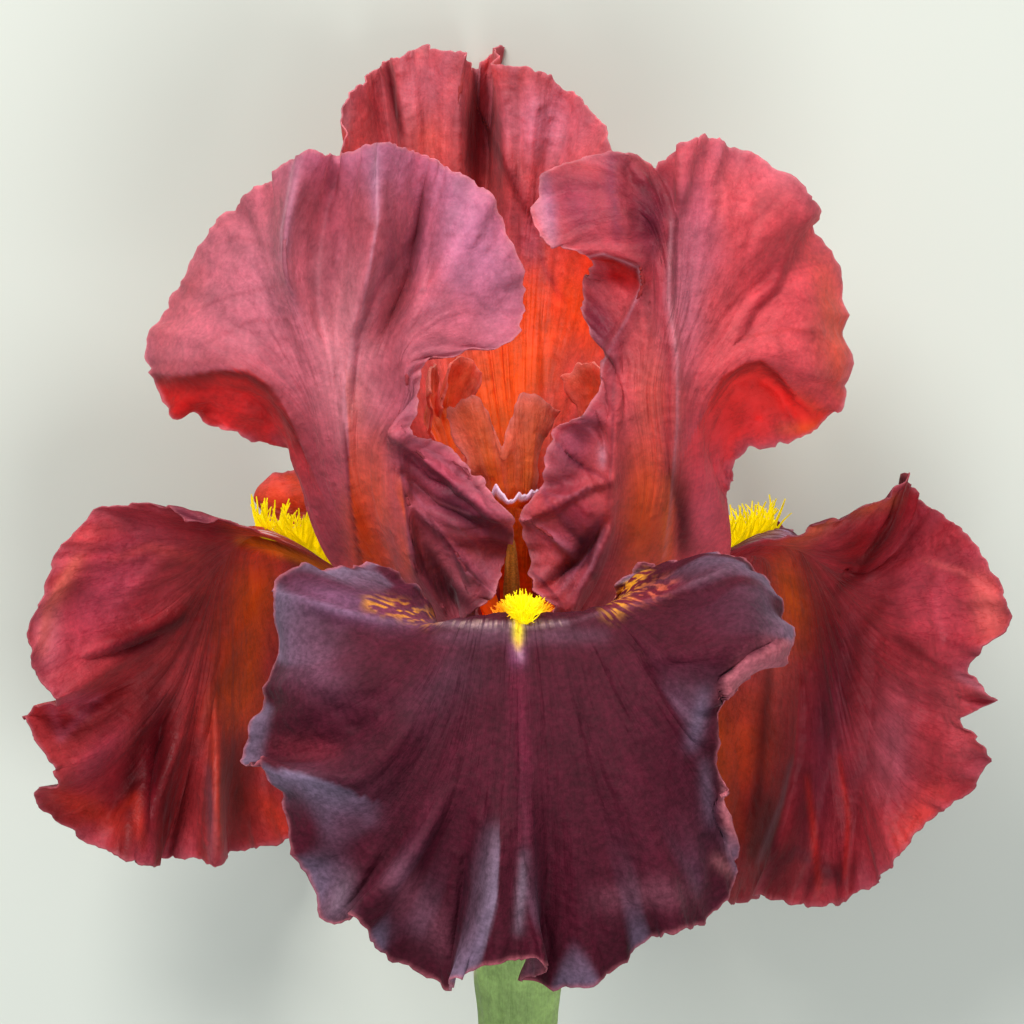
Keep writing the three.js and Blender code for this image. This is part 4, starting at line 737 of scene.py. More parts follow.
STANDARDS = {
    "standard_left": (-THIRD / 2, 1, STANDARD_LEFT, 8, 11, {
        1: ((0.48, 0.10, 0.135), [
        # Painted shade is in the dark washes, in the creases, beside the folds and in the recesses at the
        # foot; painted highlights are in the thin pale washes along the ridges.
        ((-34, 42, -45, 56), 12.4, (0.56, 0.181, 0.243), 0.8),
        ((-55, 40, -48, 39), 4.7, (0.6, 0.163, 0.216), 0.8),
        ((-49, 62, -57, 42), 3.4, (0.6, 0.075, 0.06), 0.6),
        ((-12, 70, -3, 46), 7.8, (0.47, 0.18, 0.31), 0.85),
        ((-34, 70, -15, 70), 6.2, (0.45, 0.15, 0.27), 0.75),
        ((-28, 50, -26, 28), 4.0, (0.72, 0.27, 0.32), 0.85),
        ((-20, 67, -19, 50), 1.7, (0.24, 0.04, 0.07), 0.5),
        ((-14, 64, -16, 51), 1.4, (0.2, 0.035, 0.07), 0.6),
        ((-34, 69, -36, 53), 0.9, (0.5, 0.25, 0.365), 0.5),
        ((-22, 70, -22, 59), 0.9, (0.5, 0.263, 0.405), 0.5),
        ((-24, 45, -27, 25), 0.9, (0.6, 0.275, 0.338), 0.5),
        ((-32, 23, -29, 6), 3.7, (0.46, 0.066, 0.1), 0.9),
        # The claw's own orange, painted brighter for light shining through it.
        ((-25, 14, -22, 2), 2.6, (0.92, 0.11, 0.008), 0.95),
        ((-18, 19, -17, 5), 1.4, (0.85, 0.11, 0.012), 0.8),
        ((-22, 25, -21, 6), 2.0, (0.8, 0.13, 0.08), 0.75),
        # The flap under the overhanging lobe: its own red painted brighter for light shining through it, and
        # a painted shadow under the lobe's edge.
        ((-55, 31, -49, 30), 3.1, (0.5, 0.016, 0.014), 0.95),
        ((-49, 31, -36, 25), 4.0, (0.5, 0.018, 0.018), 0.95),
        ((-45, 34, -38, 32), 1.1, (0.22, 0.006, 0.008), 0.8),
        ((-17, 31, -13, 25), 2.8, (0.42, 0.0938, 0.149), 0.7),
        ((-15, 22, -3, 9), 4.0, (0.47, 0.062, 0.12), 0.9),
        ((-12, 16, -4, 11), 1.9, (0.05, 0.004, 0.016), 0.9),
        ((-14, 4, -7, -1), 2.0, (0.06, 0.005, 0.014), 0.85),
        ((-16, 14, -4, 2), 1.2, (0.44, 0.075, 0.13), 0.8),
        # Again the flap: red painted brighter for light shining through it, then a painted shadow along the
        # lobe's edge and painted shade on the lobe above it.
        ((-58, 34, -51, 34.5, -46, 35.5, -41.5, 35.5, -38, 33, -36, 29.5, -34, 25), (0.2, 9.3), (0.66,
          0.024, 0.022), 0.97),
        ((-55.5, 34, -51, 34.5, -46, 35.5, -41.5, 35, -38, 33, -36, 29.5, -34, 25), (0.2, 1.2), (0.17,
          0.006, 0.008), 0.8),
        ((-57, 35.5, -46, 37, -39, 34.5, -34.5, 28), (1.4, 0.5), (0.4, 0.07, 0.09), 0.5),
        # Painted shade in the creases beside the claw, whose own orange is painted brighter for light shining
        # through it.
        ((-27, 28, -26, 20, -25, 9.5, -23, 1), (0.2, 0.6), (0.17, 0.018, 0.03), 0.75),
        ((-26, 21.5, -25.5, 14.5, -24, 8, -22, 1), (3.1, 0.2), (0.86, 0.095, 0.008), 0.9),
        ((-26.5, 33.5, -26, 26.5, -25.5, 17), (2.3, 0.2), (0.78, 0.15, 0.09), 0.55),
        ((-18.5, 25, -17.5, 15.5, -16.5, 6, -15, 1), (2.2, 0.2), (0.34, 0.05, 0.078), 0.85),
        ((-18.5, 24, -17.5, 15.5, -16, 6), (0.5, 0.2), (0.12, 0.014, 0.026), 0.6),
        ((-13.5, 67.5, -15.5, 56.5, -21.5, 48.5, -24.5, 41, -25.5, 31.5), (0.2, 0.8), (0.26, 0.045, 0.08),
          0.55), ((-19, 25, -12, 19.5, -6.5, 15, -1, 10.5), (0.2, 2.9), (0.08, 0.007, 0.02), 0.8),
        ((-17.5, 26, -11.5, 21.5, -6, 17, -1.5, 12.5), (0.8, 0.3), (0.42, 0.112, 0.162), 0.6),
        ((-16, 14.5, -12, 10, -8, 4.5, -3.5, 1), 0.8, (0.4, 0.0938, 0.135), 0.7),
        ((-14.5, 8.5, -10, 1.5, -6.5, -1.5), 0.9, (0.1, 0.01, 0.02), 0.7),
        ((-34, 70, -36.5, 56.5, -35.5, 48.5), 0.2, (0.62, 0.3, 0.38), 0.6),
        ((-22, 70.5, -21.5, 59, -24, 45), 0.2, (0.62, 0.3, 0.4), 0.6),
        ((-29, 66.5, -28, 54, -30, 45), 1.4, (0.33, 0.06, 0.1), 0.5),
        ((-18.5, 15.5, -16.5, 8.5, -13.5, 2.5), (0.3, 1.2), (0.42, 0.09, 0.15), 0.6),
        ((-12, 10.5, -8.5, 6, -4, 1), (0.2, 0.6), (0.1, 0.008, 0.022), 0.7),
        ((-7.5, 20, -4.5, 14.5, -2, 12.5), 0.3, (0.1, 0.008, 0.02), 0.6),
        ((-55, 32, -49, 29), 2.5, (0.5, 0.006, 0.005), 0.9),
        ((-34.5, 49, -44, 47, -54.5, 43), (0.2, 0.4), (0.34, 0.06, 0.09), 0.5),
        ((-34, 43.5, -41.5, 43, -48.5, 39.5), (0.2, 0.3), (0.36, 0.06, 0.09), 0.5),
        ((-35.5, 54, -43, 56, -49.5, 54), (0.2, 0.3), (0.4, 0.08, 0.11), 0.4),
        ((-18.5, 56, -12, 56.5, -3.5, 56), (0.2, 0.3), (0.28, 0.06, 0.11), 0.45),
        ((-19, 48, -12, 48, -3, 46.5), (0.2, 0.3), (0.28, 0.07, 0.12), 0.45),
        ((-17.5, 22.5, -13.5, 19, -10, 17.5), (0.2, 0.5), (0.15, 0.016, 0.034), 0.65),
        ((-16.5, 18.5, -12.5, 15.5, -7.5, 13.5), (0.2, 0.3), (0.52, 0.16, 0.22), 0.5),
        ((-13.5, 12.5, -10, 8, -7.5, 2.5), (0.2, 0.6), (0.09, 0.008, 0.022), 0.65),
        ((-10.5, 12.5, -6.5, 8.5, -4.5, 4), (0.2, 0.4), (0.5, 0.14, 0.2), 0.5),
        ((-16, 9.5, -14, 4, -11.5, 0), (0.2, 0.6), (0.11, 0.01, 0.028), 0.65),
        ((-18.5, 20, -14.5, 14.5, -10.5, 14.5), 0.3, (0.4, 0.1, 0.17), 0.4),
        # Painted shade where the petals' feet meet.
        ((-5, 0, -4, -2), 1.4, (0.05, 0.005, 0.01), 0.97),
        ]),
        -1: ((0.42, 0.05, 0.06), [
        # The flap's own red, painted brighter for light shining through it.
        ((-42, 26, -52, 31), 9.3, (0.62, 0.03, 0.02), 0.8),
        ((-18, 28, -7, 19), 9.3, (0.27, 0.04, 0.06), 0.8),
        ((-6, 16, -6, 0), 9.3, (0.18, 0.025, 0.045), 0.8),
        ((-37, 59, -35, 46), 2.2, (0.44, 0.13, 0.18), 0.97),
        # Painted shade where the petals' feet meet.
        ((-5, 0, -4, -2), 1.4, (0.05, 0.005, 0.01), 0.97),
        ]),
    }),
    "standard_right": (THIRD / 2, 1, STANDARD_RIGHT, 6, 12, {
        1: ((0.56, 0.075, 0.09), [
        # Painted shade is in the dark washes, in the deep valley, the curl, the creases, beside the folds and
        # in the recesses at the foot; painted highlights are in the thin pale washes along the ridges and the
        # small pale spots.
        ((38, 57, 44, 46), 9.3, (0.66, 0.075, 0.095), 0.85),
        ((48, 51, 50, 33), 2.8, (0.72, 0.1, 0.05), 0.85),
        ((27, 71, 38, 68), 4.7, (0.56, 0.125, 0.176), 0.7),
        ((27, 62, 25, 37), 3.7, (0.48, 0.144, 0.203), 0.85),
        ((19, 67, 21, 52), 4.3, (0.11, 0.003, 0.018), 0.97),
        ((27, 67, 29, 53), 2.2, (0.4, 0.0813, 0.135), 0.5),
        # The flap under the curled lobe: its own red and orange painted brighter for light shining through
        # it, and a painted shadow under the lobe's edge.
        ((42, 54, 35, 42), 1.4, (0.4, 0.03, 0.045), 0.6), ((34, 33, 32, 23), 3.4, (0.72, 0.03, 0.03), 0.95),
        ((41, 31, 48, 27), 2.6, (0.76, 0.06, 0.02), 0.95),
        ((35, 35, 41, 32), 1.1, (0.3, 0.008, 0.01), 0.85), ((28, 25, 29, 8), 3.7, (0.76, 0.13, 0.19), 0.9),
        ((25, 19, 26, 8), 1.4, (0.14, 0.01, 0.02), 0.8), ((20, 42, 20, 28), 2.8, (0.56, 0.09, 0.09), 0.8),
        # The claw's own orange, painted brighter for light shining through it.
        ((20, 22, 19, 5), 3.6, (0.92, 0.135, 0.03), 0.93), ((21, 34, 20, 23), 2.8, (0.8, 0.13, 0.09), 0.6),
        ((23, 19, 23, 6), 1.1, (0.95, 0.2, 0.03), 0.7), ((7, 65, 11, 57), 5.0, (0.27, 0.036, 0.07), 0.95),
        ((4, 64, 5, 57), 1.1, (0.52, 0.25, 0.378), 0.7),
        ((10, 52, 19, 49), 1.7, (0.46, 0.004, 0.006), 0.97),
        ((11, 45, 13, 37), 2.2, (0.2, 0.02, 0.04), 0.8), ((11, 31, 7, 19), 3.7, (0.26, 0.034, 0.068), 0.9),
        ((13, 24, 13, 21), 0.8, (0.52, 0.26, 0.34), 0.6), ((7, 16, 11, 11), 3.1, (0.26, 0.018, 0.042), 0.9),
        ((13, 11, 7, 3), 1.4, (0.06, 0.006, 0.016), 0.9), ((2, 11, 10, 8), 1.9, (0.34, 0.07, 0.13), 0.6),
        ((14, 9, 8, 0), 1.9, (0.3, 0.045, 0.075), 0.8),
        # Again the flap: red painted brighter for light shining through it, then a painted shadow along the
        # lobe's edge.
        ((29.5, 30.5, 31.5, 34.5, 35, 36.5, 37.5, 37, 40, 35, 43, 31.5, 45.5, 29, 50, 28.5), (0.2, 9.3),
          (0.97, 0.046, 0.038), 0.97),
        ((30, 31.5, 31.5, 34.5, 35, 36.5, 37.5, 37, 40, 35, 43, 31, 45, 29.5), (0.2, 1.2), (0.24, 0.007,
          0.008), 0.85), ((41, 26.5, 48.5, 26.5), 1.2, (0.95, 0.16, 0.02), 0.6),
        ((8, 52.5, 13, 53.5, 18.5, 51.5, 19, 48.5, 17, 44, 15, 40.5, 13, 36.5), 0.2, (0.66, 0.325, 0.405),
          0.8), ((19, 48, 16.5, 43.5, 14.5, 39.5, 13.5, 31), (1.4, 0.3), (0.34, 0.05, 0.075), 0.7),
        ((23.5, 58.5, 23, 47, 24.5, 37.5, 24.5, 27, 23.5, 14.5, 22.5, 6), (0.4, 0.2), (0.62, 0.275, 0.324),
          0.5), ((23, 58, 22, 47, 23.5, 37.5, 23.5, 27, 23, 14.5), (0.2, 0.9), (0.4, 0.03, 0.045), 0.6),
        ((23.5, 19, 25, 12.5, 25, 6.5), (1.4, 0.2), (0.12, 0.01, 0.02), 0.75),
        ((15, 37.5, 14.5, 23, 14, 14.5), (0.2, 0.5), (0.18, 0.02, 0.035), 0.7),
        ((12.5, 11.5, 10, 5.5, 4, 3), (0.3, 1.4), (0.06, 0.006, 0.015), 0.85),
        ((14.5, 18.5, 10.5, 17.5, 7, 15.5, 2, 12.5), (1.1, 0.2), (0.16, 0.01, 0.02), 0.7),
        ((45.5, 61, 42, 55, 39.5, 48.5, 36, 45.5, 34, 41), (1.1, 0.2), (0.42, 0.03, 0.045), 0.7),
        ((6.5, 12.5, 10.5, 8.5, 11.5, 4), (1.2, 0.5), (0.06, 0.005, 0.016), 0.8),
        ((-0.5, 13, 4.5, 10, 9, 6.5), (0.6, 0.2), (0.44, 0.13, 0.2), 0.7),
        ((13, 12.5, 10.5, 7, 6.5, 1), (0.2, 0.9), (0.42, 0.1, 0.16), 0.6),
        ((34.5, 46.5, 42, 51, 49, 52.5), (0.2, 0.3), (0.42, 0.03, 0.045), 0.5),
        ((33.5, 40.5, 42, 42, 50, 41), (0.2, 0.3), (0.46, 0.04, 0.04), 0.5),
        ((31.5, 56, 37.5, 59.5, 42, 65), (0.2, 0.3), (0.42, 0.04, 0.06), 0.45),
        ((11, 46, 14, 40), 2.3, (0.2, 0.022, 0.045), 0.9),
        ((3.5, 66.5, 5, 61, 5.5, 54), (0.8, 1.2), (0.3, 0.08, 0.16), 0.6),
        ((14.5, 70, 14.5, 63.5, 15.5, 56), (0.5, 1.2), (0.2, 0.03, 0.07), 0.7),
        ((2, 64.5, 3, 59.5, 5.5, 54.5), (1.4, 0.5), (0.55, 0.24, 0.33), 0.6),
        ((9, 52.5, 14.5, 52.5, 18.5, 50), (0.3, 1.4), (0.52, 0.01, 0.006), 0.85),
        ((5.5, 25, 9, 21.5, 13.5, 19), (0.2, 0.5), (0.13, 0.012, 0.034), 0.65),
        ((3.5, 17, 7.5, 16, 11, 17.5), (0.2, 0.4), (0.46, 0.12, 0.18), 0.5),
        ((0.5, 6, 4, 3, 6.5, 0), (0.2, 0.6), (0.09, 0.007, 0.02), 0.65),
        ((9, 1.5, 11.5, 6, 13, 11), (0.2, 0.5), (0.5, 0.15, 0.22), 0.6),
        ((6.5, 31, 10.5, 28, 13, 27.5), (0.2, 0.5), (0.15, 0.018, 0.04), 0.5),
        ((3.5, 20, 4.5, 15.5, 8, 12.5), (0.3, 0.6), (0.24, 0.03, 0.075), 0.5),
        ]),
        -1: ((0.42, 0.045, 0.045), [
        ((13, 51, 17, 48), 4.7, (0.46, 0.014, 0.016), 0.9),
        ((48, 28, 34, 23), 7.8, (0.72, 0.045, 0.02), 0.8), ((13, 42, 11, 0), 9.3, (0.22, 0.03, 0.05), 0.8),
        ]),
    }),
    "standard_back": (math.pi, -1, STANDARD_BACK, 14, 13, {
        1: ((0.58, 0.085, 0.085), [
        # The lower part's own orange is painted brighter for light shining through it; painted shade is in
        # the dark lines along the folds and the dark wash at the foot, and a painted highlight is in the pale
        # line on the ridge.
        ((-18, 79, -12, 76), 7.8, (0.67, 0.19, 0.25), 0.85), ((0, 73, 8, 73), 6.8, (0.7, 0.25, 0.36), 0.85),
        ((0, 57, 5, 53), 5.3, (0.38, 0.075, 0.12), 0.85), ((-3, 48, 4, 42), 5.3, (0.8, 0.07, 0.01), 0.95),
        ((4, 39, -3, 31), 7.1, (0.82, 0.095, 0.006), 0.95),
        ((-5, 34, 0, 20), 6.2, (0.84, 0.12, 0.004), 0.96),
        ((-20, 81, -18, 71), 0.9, (0.22, 0.015, 0.025), 0.8),
        ((-7, 76, -6, 66), 2.0, (0.22, 0.012, 0.022), 0.8),
        ((-6, 81, -2, 68), 0.9, (0.3, 0.035, 0.05), 0.6), ((-2, 68, 2, 60), 1.1, (0.34, 0.035, 0.05), 0.6),
        ((-26, 79, -27, 70), 1.1, (0.66, 0.312, 0.365), 0.8),
        ((-15, 73, -12, 68), 3.1, (0.66, 0.1, 0.06), 0.5),
        ((-20, 82, -19, 76, -18, 71.5), (0.5, 0.3), (0.16, 0.01, 0.018), 0.85),
        ((-6.5, 83, -7, 76, -8, 66.5), (1.6, 0.3), (0.22, 0.012, 0.022), 0.8),
        ((-6, 83, -6, 75, -2.5, 68, 1, 60.5), (0.2, 0.9), (0.2, 0.012, 0.02), 0.7),
        ((-1, 12, -1, 4), 2.3, (0.97, 0.2, 0.01), 0.97), ((-6, 0, 4, 0), 1.9, (0.08, 0.006, 0.008), 0.9),
        ((10, 57, 13, 43), 3.4, (0.8, 0.045, 0.008), 0.92),
        ((7, 50, 11, 40), 3.7, (0.84, 0.075, 0.008), 0.92),
        ((2, 59.5, 4, 51, 6.5, 46.5), 0.5, (0.34, 0.03, 0.05), 0.5),
        ]),
        -1: ((0.46, 0.06, 0.06), [
        ((-6, 84, -3, 84), 6.2, (0.5, 0.05, 0.05), 0.5), ((-1, 28, -1, 0), 9.3, (0.62, 0.08, 0.02), 0.8),
        ]),
    }),
}
STANDARD_EDGE = (0.66, 0.24, 0.28)
# Painted sheen: mauve worked into the colour near the margins, where the tissue catches the light.
STANDARD_PAINTED_SHEEN = ((0.5, 0.2, 0.28), 3.5, 0.25)  # colour, reach from the margin and strength
EDGE_LINE, EDGE_STRENGTH = 0.5, 0.6
# How often the satin, the streaks of the marks and the strokes of the painted sheen change along and across a
# petal.
SATIN, MARK_STREAKS, SHEEN_STROKES = (6, 80), (34, 190), (5, 46)
SATIN_STRENGTH = 0.16


def petal_paint(sides, edge_colour, seed, sheen_wash, marks=()):
    """What gives a petal's colours: washes with painted shade and highlights, streaks, painted sheen and the
    pale line at its margin.
    """
    def paint(side, points, length, breadth, edge):
        tint = painted(points, sides[side][0], sides[side][1], seed)
        satin = vein_noise(length, breadth, *SATIN, seed + 3)
        tint *= (1 + SATIN_STRENGTH * satin * ease(0.25, 0.45, length))[..., None]
        streaks = ease(0.05, 0.3, vein_noise(length, breadth, *MARK_STREAKS, seed + 5))
        for line, reaches, colour, strength in dict(marks).get(side, ()):
            cover = strength * streaks * beside(as_seen(points), line, reaches)
            tint += cover[..., None] * (np.array(colour) - tint)
        strokes = ease(-0.15, 0.35, vein_noise(length, breadth, *SHEEN_STROKES, seed + 9))
        # Painted sheen near the margins, in strokes along the veins.
        painted_sheen = sheen_wash[2] * np.exp(-((edge / sheen_wash[1]) ** 1.5)) * strokes * ease(0.3, 0.6, length)
        tint += painted_sheen[..., None] * (np.array(sheen_wash[0]) - tint)
        pale = EDGE_STRENGTH * np.exp(-((edge / EDGE_LINE) ** 2)) * ease(0.4, 0.6, length)
        return tint + pale[..., None] * (np.array(edge_colour) - tint)
    return paint


standard_tissue = petal_material("standard_tissue", 0.55, 0.08, (1.0, 0.75, 0.78), 0.35, 0.2, 50)
# The roll of the left standard's inner margin stands wider than its ribs: place, reach and shift.
STANDARD_PULLS = {"standard_left": [((-19, 31.5), 5.0, (3.4, -0.3))]}
for name, (around, turn, shape, fineness, seed, sides) in STANDARDS.items():
    grid = blade_grid(around, turn, CLAW_OF_STANDARD, shape)
    piece = add_petal(name, grid, fineness, standard_tissue, STANDARD_FOLDS[name],
                      petal_paint(sides, STANDARD_EDGE, seed, STANDARD_PAINTED_SHEEN), seed,
                      STANDARD_PULLS.get(name, ()))


# ---------------------------------------------------------------- falls
# The three hanging petals: broader blades of the same tissue that arch out on their hafts and turn down.
# Their upper sides are dark and velvety; the undersides glow orange along the midrib.
FALL_FRONT = {
    "neck": [
        (-11, -2, 23), (-5, 1, 33.5), (0.5, 2, 35.5), (7.5, 0.5, 30.5), (11.5, -2, 23),
    ],
    "middle": [
        (-13, 5.5, 28.5), (-13.5, 5, 40), (-10, 6.5, 45.5), (-7, 7, 45.5), (-5, 7.5, 45.5),
        (-1.5, 7.5, 45.5), (0.5, 7.5, 45.5), (3.5, 7.5, 45.5), (8, 7.5, 44.5), (11, 8, 43.5),
        (13.5, 8.5, 42), (16.5, 8, 35), (14, 4, 26.5),
    ],
    "ribs": [
        [(-17, 10, 31.5), (-21.5, 13, 33)], [(-21, 10.5, 40.5), (-27.5, 13.5, 36)],
        [(-25, 10.5, 47), (-37, 12, 40.5)], [(-22, 5.5, 53), (-32.5, 3.5, 50.5), (-36.5, 3.5, 43)],
        [(-19, 2, 57), (-31, -3, 56), (-39, -6, 45.5)],
        [(-17.5, -2, 59.5), (-29.5, -10.5, 55.5), (-41.5, -15, 46)],
        [(-15.5, -4.5, 62.5), (-25, -13, 65), (-38, -13.5, 54)],
        [(-13.5, -8, 61), (-23.5, -21, 63), (-33, -26, 56.5)],
        [(-11.5, -10.5, 61.5), (-22, -29, 62.5), (-29, -36, 60)],
        [(-10, -13.5, 63), (-18.5, -27.5, 67), (-24.5, -33.5, 65.5)],
        [(-8.5, -15, 62.5), (-16, -32, 62), (-20.5, -40.5, 59.5)],
        [(-5.5, -16.5, 63), (-8.5, -31.5, 64), (-10, -46, 61)],
        [(-3.5, -16, 65), (-5, -30, 70), (-9, -41, 74)],
        [(-1, -16, 65), (-1.5, -30.5, 69), (-1.5, -39, 70.5)],
        [(1.5, -16, 65), (2, -30, 70), (4, -39.5, 72)], [(4, -17, 62), (4.5, -32, 63), (1.5, -45.5, 60.5)],
        [(7.5, -16.5, 63), (9, -31.5, 65), (10.5, -45, 62.5)],
        [(11, -13.5, 62), (16, -30, 64.5), (18, -40, 60.5)],
        [(14, -10.5, 61.5), (21, -26.5, 66), (23.5, -36, 65)],
        [(16.5, -8, 61), (25.5, -24.5, 61.5), (28.5, -36.5, 57)],
        [(18.5, -5, 59.5), (27.5, -17.5, 59), (33, -29.5, 54.5)],
        [(20.5, -2, 58.5), (27, -11, 60.5), (30.5, -16, 58.5)],
        [(21.5, 0.5, 58), (28.5, -4, 61), (30.5, -2, 58.5)],
        [(23.5, 4.5, 57.5), (32.5, 5.5, 60), (40, 2, 49.5)],
        [(25.5, 8, 54.5), (33, 10.5, 55), (40.5, 6.5, 43.5)], [(25.5, 10, 49), (33, 14, 48), (39, 10, 41)],
        [(23.5, 12.5, 43.5), (29.5, 16, 43.5), (33.5, 16, 39.5)],
        [(20, 11.5, 35.5), (23.5, 13, 36), (27.5, 13.5, 35)], [(16, 9, 30), (18.5, 12.5, 31)],
    ],
}
FALL_LEFT = {
    "neck": [
        (-28.5, 3, -9), (-29.5, 1, -17.5), (-30.5, 0.5, -20.5), (-30.5, -0.5, -23.5), (-26.5, 3.5, -27.5),
    ],
    "middle": [
        (-38, 7.5, -11), (-39.5, 6.5, -18.5), (-41, 5.5, -25.5), (-42, 5, -27.5), (-42.5, 5, -29.5),
        (-43.5, 4.5, -31.5), (-44, 3.5, -33.5), (-44, 2, -35), (-41.5, -2, -40.5), (-37, 2, -39.5),
        (-31.5, 8, -33.5),
    ],
    "ribs": [
        [(-44, 9.5, -12), (-47.5, 10.5, -13.5)], [(-49.5, 9, -16.5), (-58.5, 12, -16)],
        [(-53, 6.5, -21), (-66, 10, -17.5)], [(-55.5, 3, -23), (-72.5, 3, -15)],
        [(-57, -3, -25), (-72, -5, -16.5), (-76, -8.5, -10.5)],
        [(-56.5, -7.5, -27), (-67.5, -12.5, -20), (-74, -15.5, -12)],
        [(-56, -11.5, -27), (-64, -15.5, -21), (-71.5, -18.5, -11.5)],
        [(-56.5, -15.5, -29.5), (-68.5, -22, -26), (-78, -23, -19.5)],
        [(-56.5, -19, -29.5), (-67.5, -26, -23), (-75, -27, -14.5)],
        [(-56, -21.5, -30), (-65.5, -29.5, -22.5), (-72, -31, -14)],
        [(-57, -24.5, -30.5), (-67, -35, -25.5), (-76, -36, -19)],
        [(-55, -28, -32), (-63, -39, -29.5), (-68, -44.5, -24)],
        [(-53, -28, -31), (-57.5, -38, -25.5), (-59, -47.5, -20.5)],
        [(-51.5, -30.5, -35.5), (-54.5, -42.5, -37), (-56.5, -50, -34.5)],
        [(-49.5, -30.5, -35.5), (-51, -42, -34), (-52, -49.5, -32.5)],
        [(-47.5, -30.5, -34.5), (-48, -41, -30), (-48, -50, -30.5)],
        [(-45.5, -32, -40.5), (-46, -42, -42), (-45, -49.5, -37.5)],
        [(-42, -31.5, -46.5), (-40.5, -42, -48.5), (-37.5, -50, -47.5)],
        [(-37.5, -30, -53), (-33.5, -38.5, -54), (-30.5, -45, -54)],
        [(-33.5, -24, -56), (-29.5, -29.5, -58), (-27, -34.5, -58)],
        [(-32, -15.5, -56), (-28, -20, -59), (-26.5, -21.5, -59)],
        [(-32.5, -4.5, -50), (-29.5, -7, -52.5), (-27.5, -8, -53.5)],
        [(-42, 7.5, -40.5), (-40.5, 9.5, -44)], [(-34.5, 11.5, -38), (-36, 13, -40.5)],
    ],
}
FALL_RIGHT = {
    "neck": [
        (28.5, 3.5, -9), (29.5, 1.5, -16.5), (30.5, 0.5, -19.5), (30.5, -0.5, -24.5), (31, 2, -27),
    ],
    "middle": [
        (35.5, 6.5, -10.5), (38, 5.5, -17.5), (40.5, 5, -23.5), (41.5, 4.5, -27.5), (42, 4.5, -28.5),
        (42.5, 4.5, -30.5), (43.5, 3.5, -33.5), (42, -0.5, -36.5), (39.5, -3, -41.5), (36, -2, -42.5),
        (38.5, 3, -41.5),
    ],
    "ribs": [
        [(41, 7.5, -12), (46.5, 9, -13)], [(46.5, 7, -15), (52.5, 11.5, -14.5)],
        [(49.5, 5, -16.5), (58, 13.5, -13)], [(52, 2, -21), (57.5, 7.5, -18), (60.5, 16.5, -16)],
        [(54, -1, -25.5), (60, 3, -26), (63, 11, -23)], [(55.5, -2.5, -25), (64.5, 2, -21), (70, 7.5, -16)],
        [(56.5, -5.5, -25.5), (67, -3, -20), (75.5, -1, -12)],
        [(57, -9, -26.5), (68, -8.5, -19.5), (76.5, -6.5, -11)],
        [(57.5, -12.5, -28), (65, -14.5, -21.5), (70.5, -14.5, -15.5)],
        [(58, -16, -28.5), (67.5, -19, -20.5), (75, -18.5, -12.5)],
        [(57.5, -19.5, -29.5), (66, -23.5, -24.5), (70, -23.5, -19.5)],
        [(57.5, -23, -30), (66.5, -27.5, -22.5), (74, -27, -14.5)],
        [(56.5, -27, -31), (65, -35, -25.5), (71, -35.5, -19)],
        [(55, -30, -31.5), (61.5, -40.5, -28), (64.5, -41.5, -24)],
        [(53.5, -31, -32.5), (57.5, -42, -29), (60, -47.5, -24.5)],
        [(52, -32, -34), (54.5, -45, -34.5), (56, -54, -31.5)],
        [(50, -32.5, -36), (51, -45, -34.5), (50.5, -56.5, -31)],
        [(47.5, -32.5, -36), (47, -44.5, -32.5), (43.5, -55.5, -27)],
        [(44.5, -31.5, -39.5), (42, -44.5, -38.5), (38, -56, -35)],
        [(40.5, -31.5, -46.5), (37.5, -46.5, -47.5), (34.5, -60, -45.5)],
        [(36, -29.5, -52), (32.5, -43.5, -54), (30.5, -56.5, -53.5)],
        [(32.5, -24, -56), (29.5, -34.5, -58), (27.5, -43, -58.5)],
        [(31.5, -15.5, -55), (28, -23, -58.5), (26.5, -28, -59.5)], [(35, -4, -51.5), (32, -9, -55.5)],
        [(40, 0, -49), (40, -3, -52.5)], [(42, 2.5, -44.5), (44, 1, -47)],
    ],
}

